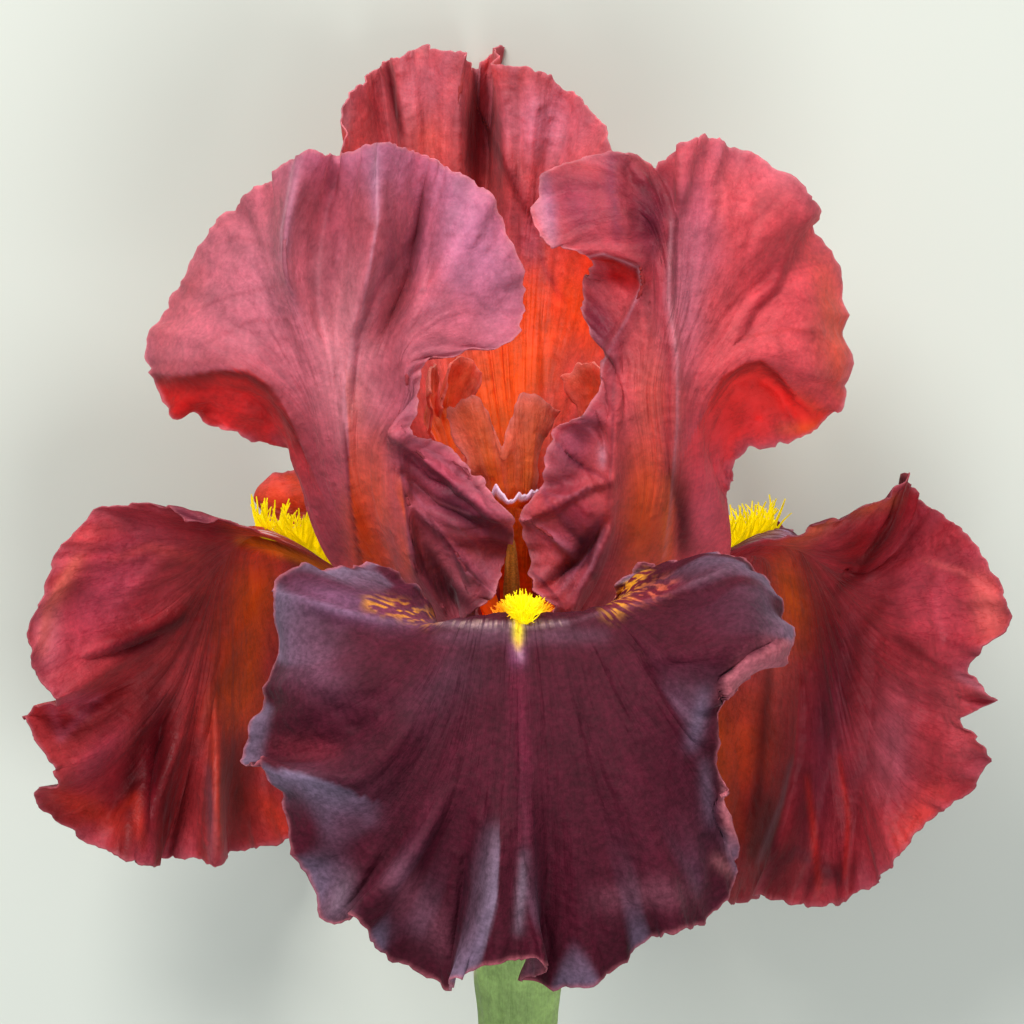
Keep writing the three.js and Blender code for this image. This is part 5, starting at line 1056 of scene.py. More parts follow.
CLAW_OF_FALL = (5.8, math.radians(24), 16, -10.5, 7, 0, 3.5)
FALL_FOLDS = {
    "fall_front": [
    ((-39, 2.5, -34, 1, -27.5, -1, -20.5, -2.5, -13, -3), (0.5, 1.6), 1.6),
    ((6.5, -3, 14.5, -1, 22, 1, 33.5, 6), (0.5, 1.6), 1.3),
    ((41.5, -6, 36, -8.5, 32, -12, 31.5, -18.5, 32.5, -25, 31.5, -32.5, 33.5, -40.5), (1.4, 0.4), 2.2),
    ((-3.5, -35.5, -3.5, -46.5, -3, -57), 2.6, 3), ((-8, -39, -10, -56), 0.8, -1.2),
    ((1, -39, 5.5, -55), 0.8, -1.2), ((-41, -25, -34, -26, -26, -27), (0.5, 1.4), 1.5),
    ((-22.5, -39, -27, -46.5, -30.5, -49.5), (0.8, 1.2), 1.3), ((-16.5, -40.5, -19, -52.5), 1.1, 0.9),
    ((16, -40.5, 20.5, -51), 1.1, 1), ((26.5, -34, 29, -43.5), (0.9, 1.1), 1.2),
    ((-0.5, -6, 0, -25), 0.6, -0.5), ((19, -9.5, 31.5, -6), 1.1, 0.8), ((11, -42, 12.5, -54), 1.1, -0.8),
    ((-34, -12.5, -21.5, -21.5), 1.4, -0.8),
    ],
    "fall_left": [
    ((-66.5, -8.5, -59.5, -6, -52.5, -3), (1.4, 0.5), 2.2),
    ((-55.5, -18.5, -57, -29.5, -58, -40.5), (1.4, 0.9), -2.4),
    ((-47, -15.5, -47, -28, -47, -40.5), (1.1, 0.6), 2),
    ((-37, 6, -44.5, -8, -48, -15.5, -51, -25), (0.8, 0.9), 1.2), ((-43.5, -15.5, -43, -37), 0.9, -0.9),
    ((-39.5, -15.5, -39, -35.5), 0.9, 0.9), ((-72, -15.5, -66.5, -18.5, -61.5, -15.5), (1.1, 0.6), 1.2),
    ((-71, -28, -63, -21.5, -57, -15.5), 1.1, 1), ((-74.5, -29.5, -71, -31), (0.6, 0.8), 1),
    ((-74, -3, -68, -6), 0.9, 0.7), ((-61.5, -31, -60, -40.5), 0.9, 0.9), ((-51, 9.5, -61.5, 0), 1.4, 0.8),
    ((-47, 10.5, -38.5, 8.5, -30, 5.5), (0.6, 1.1), 1.2),
    ],
    "fall_right": [
    ((43.5, -14, 43, -25, 40.5, -35.5, 36, -45), (1.2, 0.5), 2.4),
    ((60, 19, 58, 12.5, 54.5, 7, 50.5, 3), (1.4, 0.5), 2.4), ((67, 9.5, 64, 0, 65.5, -8, 74, -8.5), 0.9, 1),
    ((74.5, -14, 68.5, -15.5, 72.5, -21.5), (0.8, 0.9), 1.2), ((64, -12.5, 59, -25, 56, -40.5), 1.2, 1),
    ((56, -6, 54.5, -25, 51.5, -43.5), 1.2, -1.3), ((50.5, -3, 49, -21.5, 46, -40.5), 0.9, 0.8),
    ((68.5, 0, 74.5, 0), 0.9, 0.7), ((64, -31, 68.5, -29.5), 0.9, 0.8), ((39, -6, 38.5, -25), 0.9, -0.8),
    ((35, -18.5, 34.5, -40.5), (0.8, 0.9), 0.9),
    ],
}
# Painted sheen, grey on the front fall and pink on the others, that runs in from each margin: colour, reach
# and strength.
FALL_PAINTED_SHEEN = {"fall_front": ((0.17, 0.115, 0.18), 8, 0.8), "fall_left": ((0.6, 0.13, 0.2), 3.5, 0.3),
              "fall_right": ((0.6, 0.13, 0.2), 3.5, 0.3)}
# Streaks of pale or yellow along the veins of the haft, round the beard.
FALL_MARKS = {
    "fall_front": {-1: [
        ((-23, 0, -18.5, -1, -13.5, -2.5), 1.1, (0.92, 0.36, 0.01), 0.95),
        ((14.5, -1, 17, 2, 19, 4.5), 1.4, (0.92, 0.4, 0.02), 0.95),
        ((17.5, 0.5, 23.5, 3), 1.2, (0.62, 0.12, 0.06), 0.8),
        ((-12, -3, 6.5, -3), (0.2, 0.5), (0.62, 0.4, 0.34), 0.5),
    ]},
    "fall_left": {1: [
        ((-40.5, 11, -34, 10.5), (1.9, 1.4), (0.97, 0.9, 0.97), 0.97),
    ]},
    "fall_right": {-1: [
        ((33, 11.5, 38.5, 11), (2.0, 1.6), (0.97, 0.92, 0.95), 0.97),
        ((38.5, 11, 43.5, 10), 1.2, (0.62, 0.42, 0.66), 0.95),
    ]},
}
FALLS = {
    "fall_front": (0, 1, FALL_FRONT, 8, 21, "dark_fall_petal", {
        1: ((0.20, 0.035, 0.05), [
        ((39, -6, 33, -16), 6.2, (0.45, 0.1, 0.13), 0.9),
        ((33, -25, 31, -43), 6.2, (0.42, 0.12, 0.14), 0.85),
        ((-34, -25, -18, -54), 9.3, (0.17, 0.06, 0.09), 0.7),
        ]),
        -1: ((0.058, 0.0045, 0.013), [
        # Over the dark velvet: painted sheen is in the grey-blue washes on the ridges of the haft and the
        # blade, and painted shade is in the darkest washes beside the folds.
        ((-34, 2, -17, -2), 2.6, (0.15, 0.055, 0.11), 0.85),
        ((-23, 4, -15, 0), 2.2, (0.08, 0.009, 0.024), 0.8),
        ((28, 4, 19, -1), 3.7, (0.05, 0.0035, 0.009), 0.9),
        ((-12, -5, 13, -5), 1.4, (0.14, 0.06, 0.095), 0.5),
        ((-7, -8, -15, -16), 4.0, (0.068, 0.0195, 0.036), 0.6),
        ((0, -6, 0, -9), 1.2, (0.3, 0.09, 0.2), 0.7), ((0, -10, 1, -25), 1.4, (0.105, 0.008, 0.024), 0.85),
        ((1, -25, 1, -40), 1.1, (0.088, 0.009, 0.024), 0.7),
        ((-38, -6, -29, -12), 3.7, (0.14, 0.05, 0.085), 0.8),
        ((-41, -25.5, -34, -26.5, -25.5, -29.5), (0.3, 3.1), (0.2, 0.145, 0.225), 0.85),
        ((-38, -22, -29, -23), 1.9, (0.2, 0.02, 0.035), 0.7),
        ((-3, -37, -3.5, -46.5, -6, -56.5), (0.2, 2.5), (0.19, 0.13, 0.19), 0.85),
        ((1, -39, 0, -51), 0.9, (0.2, 0.14, 0.19), 0.6),
        ((-27, -43, -29, -49), 1.9, (0.2, 0.12, 0.17), 0.8),
        ((-18, -43, -12, -53), 2.6, (0.24, 0.065, 0.1), 0.8),
        ((13, -46, 27, -45), 2.6, (0.15, 0.04, 0.06), 0.75),
        ((29, -14, 27, -22), 1.4, (0.115, 0.075, 0.12), 0.8),
        ((29, -25, 30, -34), 1.2, (0.12, 0.07, 0.11), 0.7),
        ((41, -6, 38, -10), 2.2, (0.42, 0.1, 0.14), 0.95),
        ((35, -9, 32, -14), 1.2, (0.44, 0.12, 0.15), 0.9),
        ((32, -16, 33, -39), 0.9, (0.44, 0.16, 0.18), 0.85),
        ((31, -40, 34, -42), 1.2, (0.46, 0.14, 0.16), 0.8),
        ((28, 0, 41, -3), 4.0, (0.068, 0.009, 0.024), 0.5),
        # Painted sheen along the bends of the haft.
        ((-39, 2, -34, 1, -27.5, -1, -20.5, -2.5, -13, -3), (0.3, 0.8), (0.17, 0.085, 0.15), 0.75),
        ((6.5, -3, 14.5, -1, 22, 1, 33.5, 6), (0.2, 0.6), (0.17, 0.07, 0.1), 0.5),
        ((41.5, -6, 36.5, -8.5, 32.5, -12, 32, -18.5, 33, -25, 32, -32.5, 33.5, -40.5), (3.4, 0.2), (0.5,
          0.13, 0.16), 0.95),
        # Painted shade beside the folds.
        ((41, -6, 35.5, -8.5, 32, -12, 31.5, -18.5, 32, -25, 31.5, -32.5, 33, -40.5), (0.2, 1.4), (0.06,
          0.004, 0.012), 0.6), ((-7.5, -39, -10, -56), (0.5, 1.4), (0.045, 0.004, 0.012), 0.8),
        ((1, -39, 5, -55), (1.4, 0.5), (0.05, 0.004, 0.012), 0.8),
        ((-13, -3, -6, -3.5, 0.5, -3.5, 7.5, -3), (0.5, 0.6), (0.24, 0.14, 0.18), 0.7),
        ((0, -1, 0, -5.5), 0.8, (0.97, 0.74, 0.02), 0.97), ((0, -5.5, 0, -7), 0.5, (0.9, 0.5, 0.06), 0.9),
        ((0, -7, 0.5, -8.5), 0.5, (0.5, 0.26, 0.36), 0.5),
        ((-23, -0.5, -18.5, -1, -13.5, -2.5), 1.4, (0.2, 0.022, 0.045), 0.7),
        ((14.5, -1, 17, 2, 19, 4.5), 1.6, (0.22, 0.022, 0.035), 0.7),
        ((17.5, 0.5, 25, 3), 1.4, (0.18, 0.015, 0.03), 0.7),
        ]),
    }),
    "fall_left": (-THIRD, -1, FALL_LEFT, 9, 22, "fall_petal", {
        1: ((0.16, 0.015, 0.03), [
        ((-36, 20, -39, 10), 5.3, (0.97, 0.1, 0.03), 0.95),
        ((-77, -16, -73, -16), 3.1, (0.56, 0.02, 0.015), 0.9),
        ]),
        -1: ((0.42, 0.034, 0.04), [
        # The underside's own orange and red; painted shade is in the dark washes in and beside the valleys of
        # the folds.
        ((-40, 5, -42, -6), 4.0, (0.95, 0.11, 0.002), 0.97),
        ((-44, -8, -47, -19), 3.1, (0.36, 0.035, 0.003), 0.9),
        ((-38, -16, -40, -25), 2.2, (0.594, 0.054, 0.0081), 0.8),
        ((-45, -22, -43, -36), 3.1, (0.13, 0.003, 0.002), 0.9),
        ((-47, -22, -47, -40), 0.8, (0.621, 0.0675, 0.0405), 0.6),
        ((-40, -31, -36, -37), 2.2, (0.675, 0.0405, 0.0108), 0.7),
        ((-59, 9, -69, -6), 5.3, (0.7, 0.08, 0.135), 0.9),
        ((-73, 0, -73, -9), 1.9, (0.97, 0.23, 0.31), 0.9),
        ((-71, 6, -65, 11), 2.2, (0.743, 0.081, 0.0945), 0.7),
        ((-62, -8, -52, -5), 1.9, (0.162, 0.0054, 0.0162), 0.9),
        ((-55, -16, -57, -39), 3.4, (0.11, 0.0015, 0.005), 0.97),
        ((-62, -21, -68, -28), 2.8, (0.432, 0.0473, 0.081), 0.85),
        ((-71, -31, -60, -36), 1.9, (0.675, 0.0473, 0.027), 0.9),
        ((-62, -25, -63, -33), 2.2, (0.324, 0.0162, 0.027), 0.8),
        ((-71, -16, -66, -16), 1.6, (0.567, 0.0945, 0.149), 0.7),
        ((-45, 11, -30, 5), 1.2, (0.675, 0.135, 0.0081), 0.7),
        ((-51, 12, -44, 10), 1.9, (0.27, 0.0108, 0.0203), 0.85),
        ((-55, -9, -49, 0), 2.2, (0.405, 0.027, 0.027), 0.6),
        ((-66.5, -8.5, -59.5, -6, -52, -3), (0.2, 1.6), (0.189, 0.0081, 0.0189), 0.85),
        ((-55.5, -16.5, -56.5, -29.5, -57.5, -40.5), (0.3, 2.2), (0.176, 0.0054, 0.0135), 0.85),
        ((-47, -15.5, -47, -28, -47, -40.5), (0.3, 1.4), (0.675, 0.0675, 0.0405), 0.6),
        ((-64, -6, -57, -5, -48.5, 0), 1.2, (0.13, 0.003, 0.006), 0.8),
        ((-57, -15.5, -60, -26.5, -60.5, -39), (0.9, 1.6), (0.1, 0.001, 0.004), 0.8),
        ((-73.5, -14, -71, -21.5, -65, -15.5), 0.8, (0.6, 0.12, 0.19), 0.6),
        ((-45.5, 10.5, -38.5, 8.5, -30, 5.5), (1.2, 1.4), (0.2, 0.014, 0.006), 0.6),
        ((-43, 9, -36, 7, -29, 4.5), (0.8, 0.9), (0.95, 0.27, 0.008), 0.85),
        ((-41, -6, -43, -19), 2.6, (0.84, 0.1, 0.003), 0.8),
        ((-48, -26.5, -47.5, -40.5), (0.5, 0.8), (0.2, 0.07, 0.1), 0.75),
        ((-60.5, -8, -51.5, -3), (0.5, 0.8), (0.1, 0.001, 0.004), 0.8),
        ((-63, 6, -57, 8, -49.5, 6), 0.9, (0.8, 0.09, 0.08), 0.5),
        ((-68.5, 6, -73, -1.5, -74, -8), (1.4, 0.9), (0.95, 0.2, 0.14), 0.7),
        ((-65, -35.5, -59.5, -31, -58.5, -39), 0.9, (0.62, 0.03, 0.012), 0.6),
        ]),
    }),
    "fall_right": (THIRD, 1, FALL_RIGHT, 8, 23, "fall_petal", {
        1: ((0.44, 0.036, 0.05), [
        # The underside's own orange and red; painted shade is in the dark washes in and beside the valleys of
        # the folds.
        ((40, -3, 39, -16), 4.0, (0.8, 0.11, 0.09), 0.9), ((41, 5, 44, -6), 3.1, (0.86, 0.13, 0.006), 0.92),
        ((36, -19, 35, -31), 4.0, (0.84, 0.07, 0.02), 0.9),
        ((34, -39, 38, -31), 2.8, (0.351, 0.0162, 0.0189), 0.8),
        ((51, 6, 56, 12), 2.8, (0.28, 0.002, 0.003), 0.95),
        ((47, 0, 51, -16), 3.4, (0.34, 0.01, 0.013), 0.87),
        ((56, 12, 65, 16), 2.2, (0.459, 0.0162, 0.027), 0.8),
        ((62, 6, 67, -6), 5.3, (0.756, 0.0878, 0.128), 0.9),
        ((72, 3, 74, -6), 2.2, (0.95, 0.176, 0.162), 0.9),
        ((59, -17, 58, -29), 3.7, (0.52, 0.12, 0.17), 0.7),
        ((53, -25, 51, -40), 2.2, (0.27, 0.027, 0.0405), 0.8),
        ((67, -14, 70, -25), 2.5, (0.675, 0.0945, 0.121), 0.8),
        ((65, -31, 59, -40), 2.5, (0.837, 0.0743, 0.0675), 0.85),
        ((53, -42, 41, -45), 2.0, (0.15, 0.013, 0.02), 0.85),
        ((45, -28, 44, -42), 3.1, (0.16, 0.01, 0.015), 0.9),
        ((50, 15, 59, 16), 1.2, (0.675, 0.0675, 0.027), 0.6),
        ((44, -14, 43.5, -25, 41, -35.5, 36.5, -45.5), (1.9, 0.2), (0.324, 0.0189, 0.0297), 0.85),
        ((60, 19, 58, 12.5, 54.5, 7, 50.5, 3), (1.9, 0.2), (0.324, 0.0081, 0.0135), 0.85),
        ((39, -9.5, 38, -25, 36.5, -40.5), (0.9, 1.4), (0.14, 0.006, 0.01), 0.85),
        ((38, -44, 43.5, -39.5, 51.5, -44.5), 1.2, (0.13, 0.018, 0.028), 0.8),
        ((59.5, 18.5, 57, 11, 53, 4.5, 49, 1), (1.4, 0.5), (0.13, 0.001, 0.003), 0.92),
        ((59, 2.5, 53, -6, 50, -18.5), (0.9, 1.6), (0.24, 0.006, 0.01), 0.6),
        ((64.5, -6, 74.5, -9.5), 0.8, (0.34, 0.03, 0.05), 0.7),
        ((30, -14, 30, -36), 4.3, (0.78, 0.1, 0.012), 0.9),
        ((50, -6, 46, -36), 3.7, (0.15, 0.014, 0.034), 0.8),
        ((39, -33, 40, -45), 2.2, (0.09, 0.007, 0.014), 0.9),
        ((37.5, -41.5, 41, -32, 42.5, -25.5), 0.4, (0.3, 0.13, 0.17), 0.7),
        ((47, -45.5, 46, -35.5, 45, -28), 0.6, (0.56, 0.018, 0.01), 0.7),
        ((51, -43.5, 51.5, -34, 50, -25), 0.5, (0.58, 0.02, 0.012), 0.6),
        ((42.5, 8.5, 50, 13.5, 57.5, 15.5), (1.1, 1.4), (0.66, 0.13, 0.05), 0.7),
        ((63, 6, 69.5, 4, 74.5, 0), 0.6, (0.9, 0.16, 0.16), 0.6),
        ((59, -6, 65.5, -10.5, 71, -10), (0.5, 1.4), (0.18, 0.008, 0.014), 0.7),
        ((68.5, -12, 72.5, -14, 74.5, -15.5), (0.9, 0.8), (0.6, 0.2, 0.26), 0.7),
        ]),
        -1: ((0.16, 0.015, 0.03), [
        ((34, 16, 38, 11), 3.7, (0.32, 0.16, 0.2), 0.6),
        ]),
    }),
}
FALL_EDGE = (0.50, 0.13, 0.16)
dark_velvet = petal_material("dark_velvet", 0.7, 0.015, (0.6, 0.66, 1.0), 0.08, 0.35, 80, 0.12, 0.2)
fall_tissue = petal_material("fall_tissue", 0.5, 0.08, (1.0, 0.7, 0.75), 0.35, 0.35, 70)
fall_grids = {}
for name, (around, turn, shape, fineness, seed, slot, sides) in FALLS.items():
    fall_grids[name] = blade_grid(around, turn, CLAW_OF_FALL, shape)
    tissue = dark_velvet if slot == "dark_fall_petal" else fall_tissue
    paint = petal_paint(sides, FALL_EDGE, seed, FALL_PAINTED_SHEEN[name], FALL_MARKS[name])
    piece = add_petal(name, fall_grids[name], fineness, tissue, FALL_FOLDS[name], paint, seed)


# ---------------------------------------------------------------- beards
# On the haft of each fall stands a beard: a low cushion of the petal's tissue, thick with upright hairs,
# orange where it starts in the throat and bright yellow where it shows.
BEARD_START = 2.1  # row of the fall's grid
BEARD_ENDS = {"fall_front": 4.22, "fall_left": 3.9, "fall_right": 3.9}
BEARD_ROWS, BEARD_COLUMNS = 64, 24
BEARD_WIDTH = 7.0
BEARD_POINT = 0.7  # narrowing at the front end
BEARD_SEAT = 0.35  # clearance over the middle of the blade
BEARD_RIM, BEARD_CROWN = 0.5, 1.2
HAIR_LENGTHS = {"fall_front": 2.75, "fall_left": 5.4, "fall_right": 5.4}
HAIR_RADII = {"fall_front": 0.17, "fall_left": 0.3, "fall_right": 0.3}
HAIR_CROWDING = {"fall_front": 7.5e6, "fall_left": 3.2e6, "fall_right": 3.2e6}
HAIR_LEAN = 0.45
ORANGE_SIDES = {"fall_front": 1.15, "fall_left": 9, "fall_right": 9}
HAIR_SEED = 5

# The beard also gives out its own colour at a low strength: a painted glow that makes the hairs brighter than
# the light on them.
FUZZ_SCALE, FUZZ_ROUGHNESS, FUZZ_PAINTED_GLOW, FUZZ_GLOW = 900.0, 0.6, 0.22, 0.45

beard_fuzz, fuzz_tree, fuzz_shader, fuzz_tint, fuzz_place = new_material("beard_fuzz")
fuzz_noise = noise_nodes(fuzz_tree, fuzz_place, FUZZ_SCALE)
fuzz_value = add_node(fuzz_tree, "MapRange", inputs={"Value": fuzz_noise, 3: 0.8, 4: 1.2}).outputs[0]
fuzz_colour = add_node(fuzz_tree, "HueSaturation",
                       inputs={"Color": fuzz_tint, "Value": fuzz_value}).outputs[0]
fuzz_tree.links.new(fuzz_colour, fuzz_shader.inputs["Base Color"])
# Painted glow: the hairs give out their own colour.
fuzz_tree.links.new(fuzz_colour, fuzz_shader.inputs["Emission Color"])
fuzz_tree.links.new(bump_nodes(fuzz_tree, fuzz_noise, 0.3, 0.0003), fuzz_shader.inputs["Normal"])
fuzz_shader.inputs["Roughness"].default_value = FUZZ_ROUGHNESS
fuzz_shader.inputs["Emission Strength"].default_value = FUZZ_PAINTED_GLOW
let_light_through(fuzz_tree, fuzz_shader, FUZZ_GLOW, fuzz_colour)
HAIR_YELLOW = np.array([1.0, 0.9, 0.0])
HAIR_ORANGE = np.array([1.0, 0.36, 0.0])


HAIR_TIP, HAIR_BEND = 0.0002, -0.0004  # how far the tip and the middle of a hair stand aside, in metres
HAIR_TAPER = 0.35  # radius of the tip to that of the foot
HAIR_SIZES = (0.7, 1.1)
ANY_WAY = 3.1  # turn of a hair about itself, to either side


def hair_tree():
    """Geometry nodes that plant tapered, bent hairs on a surface and leave plain mesh."""
    tree = bpy.data.node_groups.new("beard_hairs", "GeometryNodeTree")
    for name, kind in [("Skin", "Geometry"), ("Length", "Float"), ("Radius", "Float"), ("Density", "Float"),
                       ("Lean", "Float"), ("Seed", "Int"), ("Fuzz", "Material")]:
        tree.interface.new_socket(name, in_out="INPUT", socket_type="NodeSocket" + kind)
    tree.interface.new_socket("Hairs", in_out="OUTPUT", socket_type="NodeSocketGeometry")
    taken = tree.nodes.new("NodeGroupInput").outputs

    def part(kind, settings=None, inputs=None):
        return add_node(tree, kind, settings, inputs).outputs

    spots = part("GeometryNodeDistributePointsOnFaces", None,
                 {"Mesh": taken["Skin"], "Density": taken["Density"], "Seed": taken["Seed"]})
    tip = part("CombineXYZ", None, {"X": HAIR_TIP, "Z": taken["Length"]})[0]
    half = part("Math", {"operation": "MULTIPLY"}, {0: taken["Length"], 1: 0.55})[0]
    bend = part("CombineXYZ", None, {"X": HAIR_BEND, "Z": half})[0]
    line = part("GeometryNodeCurveQuadraticBezier", None,
                {"Resolution": 5, "Start": (0, 0, 0), "Middle": bend, "End": tip})[0]
    along = part("GeometryNodeSplineParameter")["Factor"]
    slim = part("MapRange", None, {"Value": along, 3: 1.0, 4: HAIR_TAPER})[0]
    radius = part("Math", {"operation": "MULTIPLY"}, {0: slim, 1: taken["Radius"]})[0]
    round_line = part("GeometryNodeCurvePrimitiveCircle", None, {"Resolution": 5, "Radius": 1.0})[0]
    hair = part("GeometryNodeCurveToMesh", None, {
        "Curve": line, "Profile Curve": round_line, "Scale": radius, "Fill Caps": True})[0]
    size = part("FunctionNodeRandomValue", {"data_type": "FLOAT"},
                {2: HAIR_SIZES[0], 3: HAIR_SIZES[1], "Seed": 3})[1]
    hairs = part("GeometryNodeInstanceOnPoints", None, {
        "Points": spots["Points"], "Instance": hair, "Rotation": spots["Rotation"], "Scale": size})[0]
    low = part("Math", {"operation": "MULTIPLY"}, {0: taken["Lean"], 1: -1.0})[0]
    lows = part("CombineXYZ", None, {"X": low, "Y": low, "Z": -ANY_WAY})[0]
    highs = part("CombineXYZ", None, {"X": taken["Lean"], "Y": taken["Lean"], "Z": ANY_WAY})[0]
    lean = part("FunctionNodeRandomValue", {"data_type": "FLOAT_VECTOR"}, {0: lows, 1: highs, "Seed": 8})[0]
    leaning = part("GeometryNodeRotateInstances", None, {"Instances": hairs, "Rotation": lean})[0]
    plain = part("GeometryNodeRealizeInstances", None, {"Geometry": leaning})[0]
    done = part("GeometryNodeSetMaterial", None, {"Geometry": plain, "Material": taken["Fuzz"]})[0]
    tree.links.new(done, tree.nodes.new("NodeGroupOutput").inputs["Hairs"])
    return tree


def beard_sheet(grid, end):
    """The strip of a fall's surface under its beard, and the normals of that strip."""
    sheet = []
    for place in np.linspace(BEARD_START, end, BEARD_ROWS + 1):
        low = int(place)
        line = grid[low] + (place - low) * (grid[low + 1] - grid[low])
        dense = smooth_curve(line, np.linspace(0, 1, CURVE_STEPS + 1))
        reach = lengths_along(dense)
        narrow = 1 - BEARD_POINT * ease(end - 0.9, end, place)
        aside = np.linspace(-0.5, 0.5, BEARD_COLUMNS + 1) * BEARD_WIDTH * narrow
        at = reach[CURVE_STEPS // 2] + aside
        sheet.append(np.stack([np.interp(at, reach, dense[:, k]) for k in range(3)], axis=-1))
    sheet = np.array(sheet)
    if grid_normals(sheet)[1, 1, 1] < 0:
        sheet = sheet[:, ::-1]
    return sheet, grid_normals(sheet)


def beard_tint(points, sheet, reach):
    """Orange deep in the throat and low at the sides, yellow along the middle and where the beard shows."""
    first, last = sheet[0].mean(0), sheet[-1].mean(0)
    share = (points - first) @ unit(last - first) / np.linalg.norm(last - first)
    aside = (points - first) @ unit(sheet[:, -1] - sheet[:, 0]).mean(0) / (BEARD_WIDTH / 2)
    height = (points - first) @ unit(np.cross(unit(sheet[:, -1] - sheet[:, 0]).mean(0), unit(last - first)))
    uneven = 0.2 * soft_noise(points / 1.5, 3)
    sideways = np.abs(aside) + uneven - 0.06 * np.abs(height)
    yellow = ease(-0.1, 0.25, share + uneven) * ease(reach, reach - 0.9, sideways)
    return HAIR_ORANGE + yellow[:, None] * (HAIR_YELLOW - HAIR_ORANGE)


beard_hairs = hair_tree()
hair_settings = {"Lean": HAIR_LEAN, "Seed": HAIR_SEED, "Fuzz": beard_fuzz}
for name, grid in fall_grids.items():
    beard = name.replace("fall", "beard")
    hair_settings["Length"] = HAIR_LENGTHS[name] / 1000
    hair_settings["Radius"] = HAIR_RADII[name] / 1000
    hair_settings["Density"] = HAIR_CROWDING[name]
    sheet, normals = beard_sheet(grid, BEARD_ENDS[name])
    breadth = np.linspace(0, 1, BEARD_COLUMNS + 1)[None, :, None]
    ends = np.sin(np.pi * np.linspace(0.06, 0.94, BEARD_ROWS + 1))[:, None, None] ** 0.5
    under = sheet + BEARD_SEAT * normals
    crown = BEARD_SEAT + ends * (BEARD_RIM + BEARD_CROWN * np.sin(np.pi * breadth))
    top = sheet + crown * normals
    points = np.concatenate([top.reshape(-1, 3), under.reshape(-1, 3)])
    cushion = add_piece(beard + "_cushion", points, sheet_faces(*sheet.shape[:2]), beard_fuzz,
                        beard_tint(points, sheet, ORANGE_SIDES[name]))
    skin = add_piece(beard + "_skin", top.reshape(-1, 3), sheet_faces(*sheet.shape[:2])[:1], beard_fuzz)
    planting = skin.modifiers.new("hairs", "NODES")
    planting.node_group = beard_hairs
    for socket in beard_hairs.interface.items_tree:
        if socket.name in hair_settings:
            planting[socket.identifier] = hair_settings[socket.name]
    bpy.context.view_layer.update()
    grown = skin.evaluated_get(bpy.context.evaluated_depsgraph_get())
    hair_mesh = bpy.data.meshes.new_from_object(grown)
    bpy.data.objects.remove(skin)
    spots = np.empty(3 * len(hair_mesh.vertices))
    hair_mesh.vertices.foreach_get("co", spots)
    spots = spots.reshape(-1, 3) * 1000 - AXIS_PLACE
    paint_points(hair_mesh, beard_tint(spots, sheet, ORANGE_SIDES[name]))
    hairs = bpy.data.objects.new(beard + "_hairs", hair_mesh)
    bpy.context.scene.collection.objects.link(hairs)
    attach(hairs, "root")
    for piece in (cushion, hairs):
        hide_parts(beard)


# ---------------------------------------------------------------- style arms
# Three petal-like arms of the style arch over the beards. Each splits into two upright crests at its end
# and carries the stigma, a short pale lip, on its outer side.
STYLE_ARM = {
    "neck": [[-3, 9, 12], [-2, 10, 13], [-0.5, 10.5, 14], [1, 10, 13], [2, 9, 12]],
    "middle": [[-4.5, 18, 15.5], [-3, 19.5, 17], [-1, 20.5, 18], [1, 19.5, 17], [2.5, 18, 15.5]],
    "ribs": [
        [[-8, 26, 17.5], [-11.5, 32, 16.5]],
        [[-6.5, 28.5, 19], [-10, 34.5, 17.5]],
        [[-5, 29.5, 20], [-6.5, 36, 18]],
        [[-3, 27.5, 20], [-4, 31.5, 19]],
        [[-2, 25.5, 20], [-2.5, 28.5, 19.5]],
        [[-1, 28, 20], [-1.5, 31.5, 19]],
        [[0.5, 29.5, 19.5], [0.5, 36, 18]],
        [[2.5, 29, 18.5], [3.5, 35.5, 17]],
        [[4, 28, 16.5], [6.5, 32.5, 14.5]],
    ],
}
CLAW_OF_STYLE = (1.9, math.radians(38), 5, -6, 2.4, 0.8, 0)
STYLE_LEANS = {"front": (0, 1.0), "left": (-THIRD, 0.8), "right": (THIRD, 0.8)}
STYLE_ROWS = np.concatenate([np.arange(0, 7, 1 / 6), 8 - np.linspace(1, 0, 12) ** 1.5])
STYLE_COLUMNS = np.linspace(0, 8, 97)
STYLE_TIP = np.array([0.54, 0.085, 0.03])
STYLE_FOOT = np.array([0.76, 0.15, 0.004])
STYLE_EDGE = np.array([0.60, 0.17, 0.14])
# Painted light: the two arms at the back are painted paler, to stand for the light that shines through them
# in their shade.
STYLE_PAINTED_LIGHT = np.array([1.35, 1.6, 1.6])  # of the two arms at the back
STYLE_BLUSH = (2, 14)  # changes of tint along and across an arm
ARM_HALF, LIP_HALF = 0.22, 0.16  # half the thickness
LIP_ROOT = [[-4.2, 17.8, 16.2], [-2.6, 18.2, 17.3], [-1, 18.6, 17.9], [0.8, 18.2, 17.3], [2.4, 17.8, 16.4]]
LIP_EDGE = [[-4.3, 20.2, 18.2], [-3.4, 22.4, 19.2], [-2.2, 21, 20], [-1.1, 20.2, 20.6], [0.2, 21.3, 20.2],
            [1, 20.9, 19.8], [2.1, 21.5, 19.2], [3, 21.4, 18.4]]
LIP_TEETH = 7
LIP_NOTCH = 0.35
LIP_COLOUR = np.array([0.85, 0.66, 0.80])


def stood(points, around, lean):
    """Points drawn for the front arm, turned to another arm's place and stood closer in."""
    x, y, z = points[..., 0], points[..., 1], points[..., 2] * lean
    turned = [x * math.cos(around) + z * math.sin(around), y, z * math.cos(around) - x * math.sin(around)]
    return np.stack(turned, axis=-1)


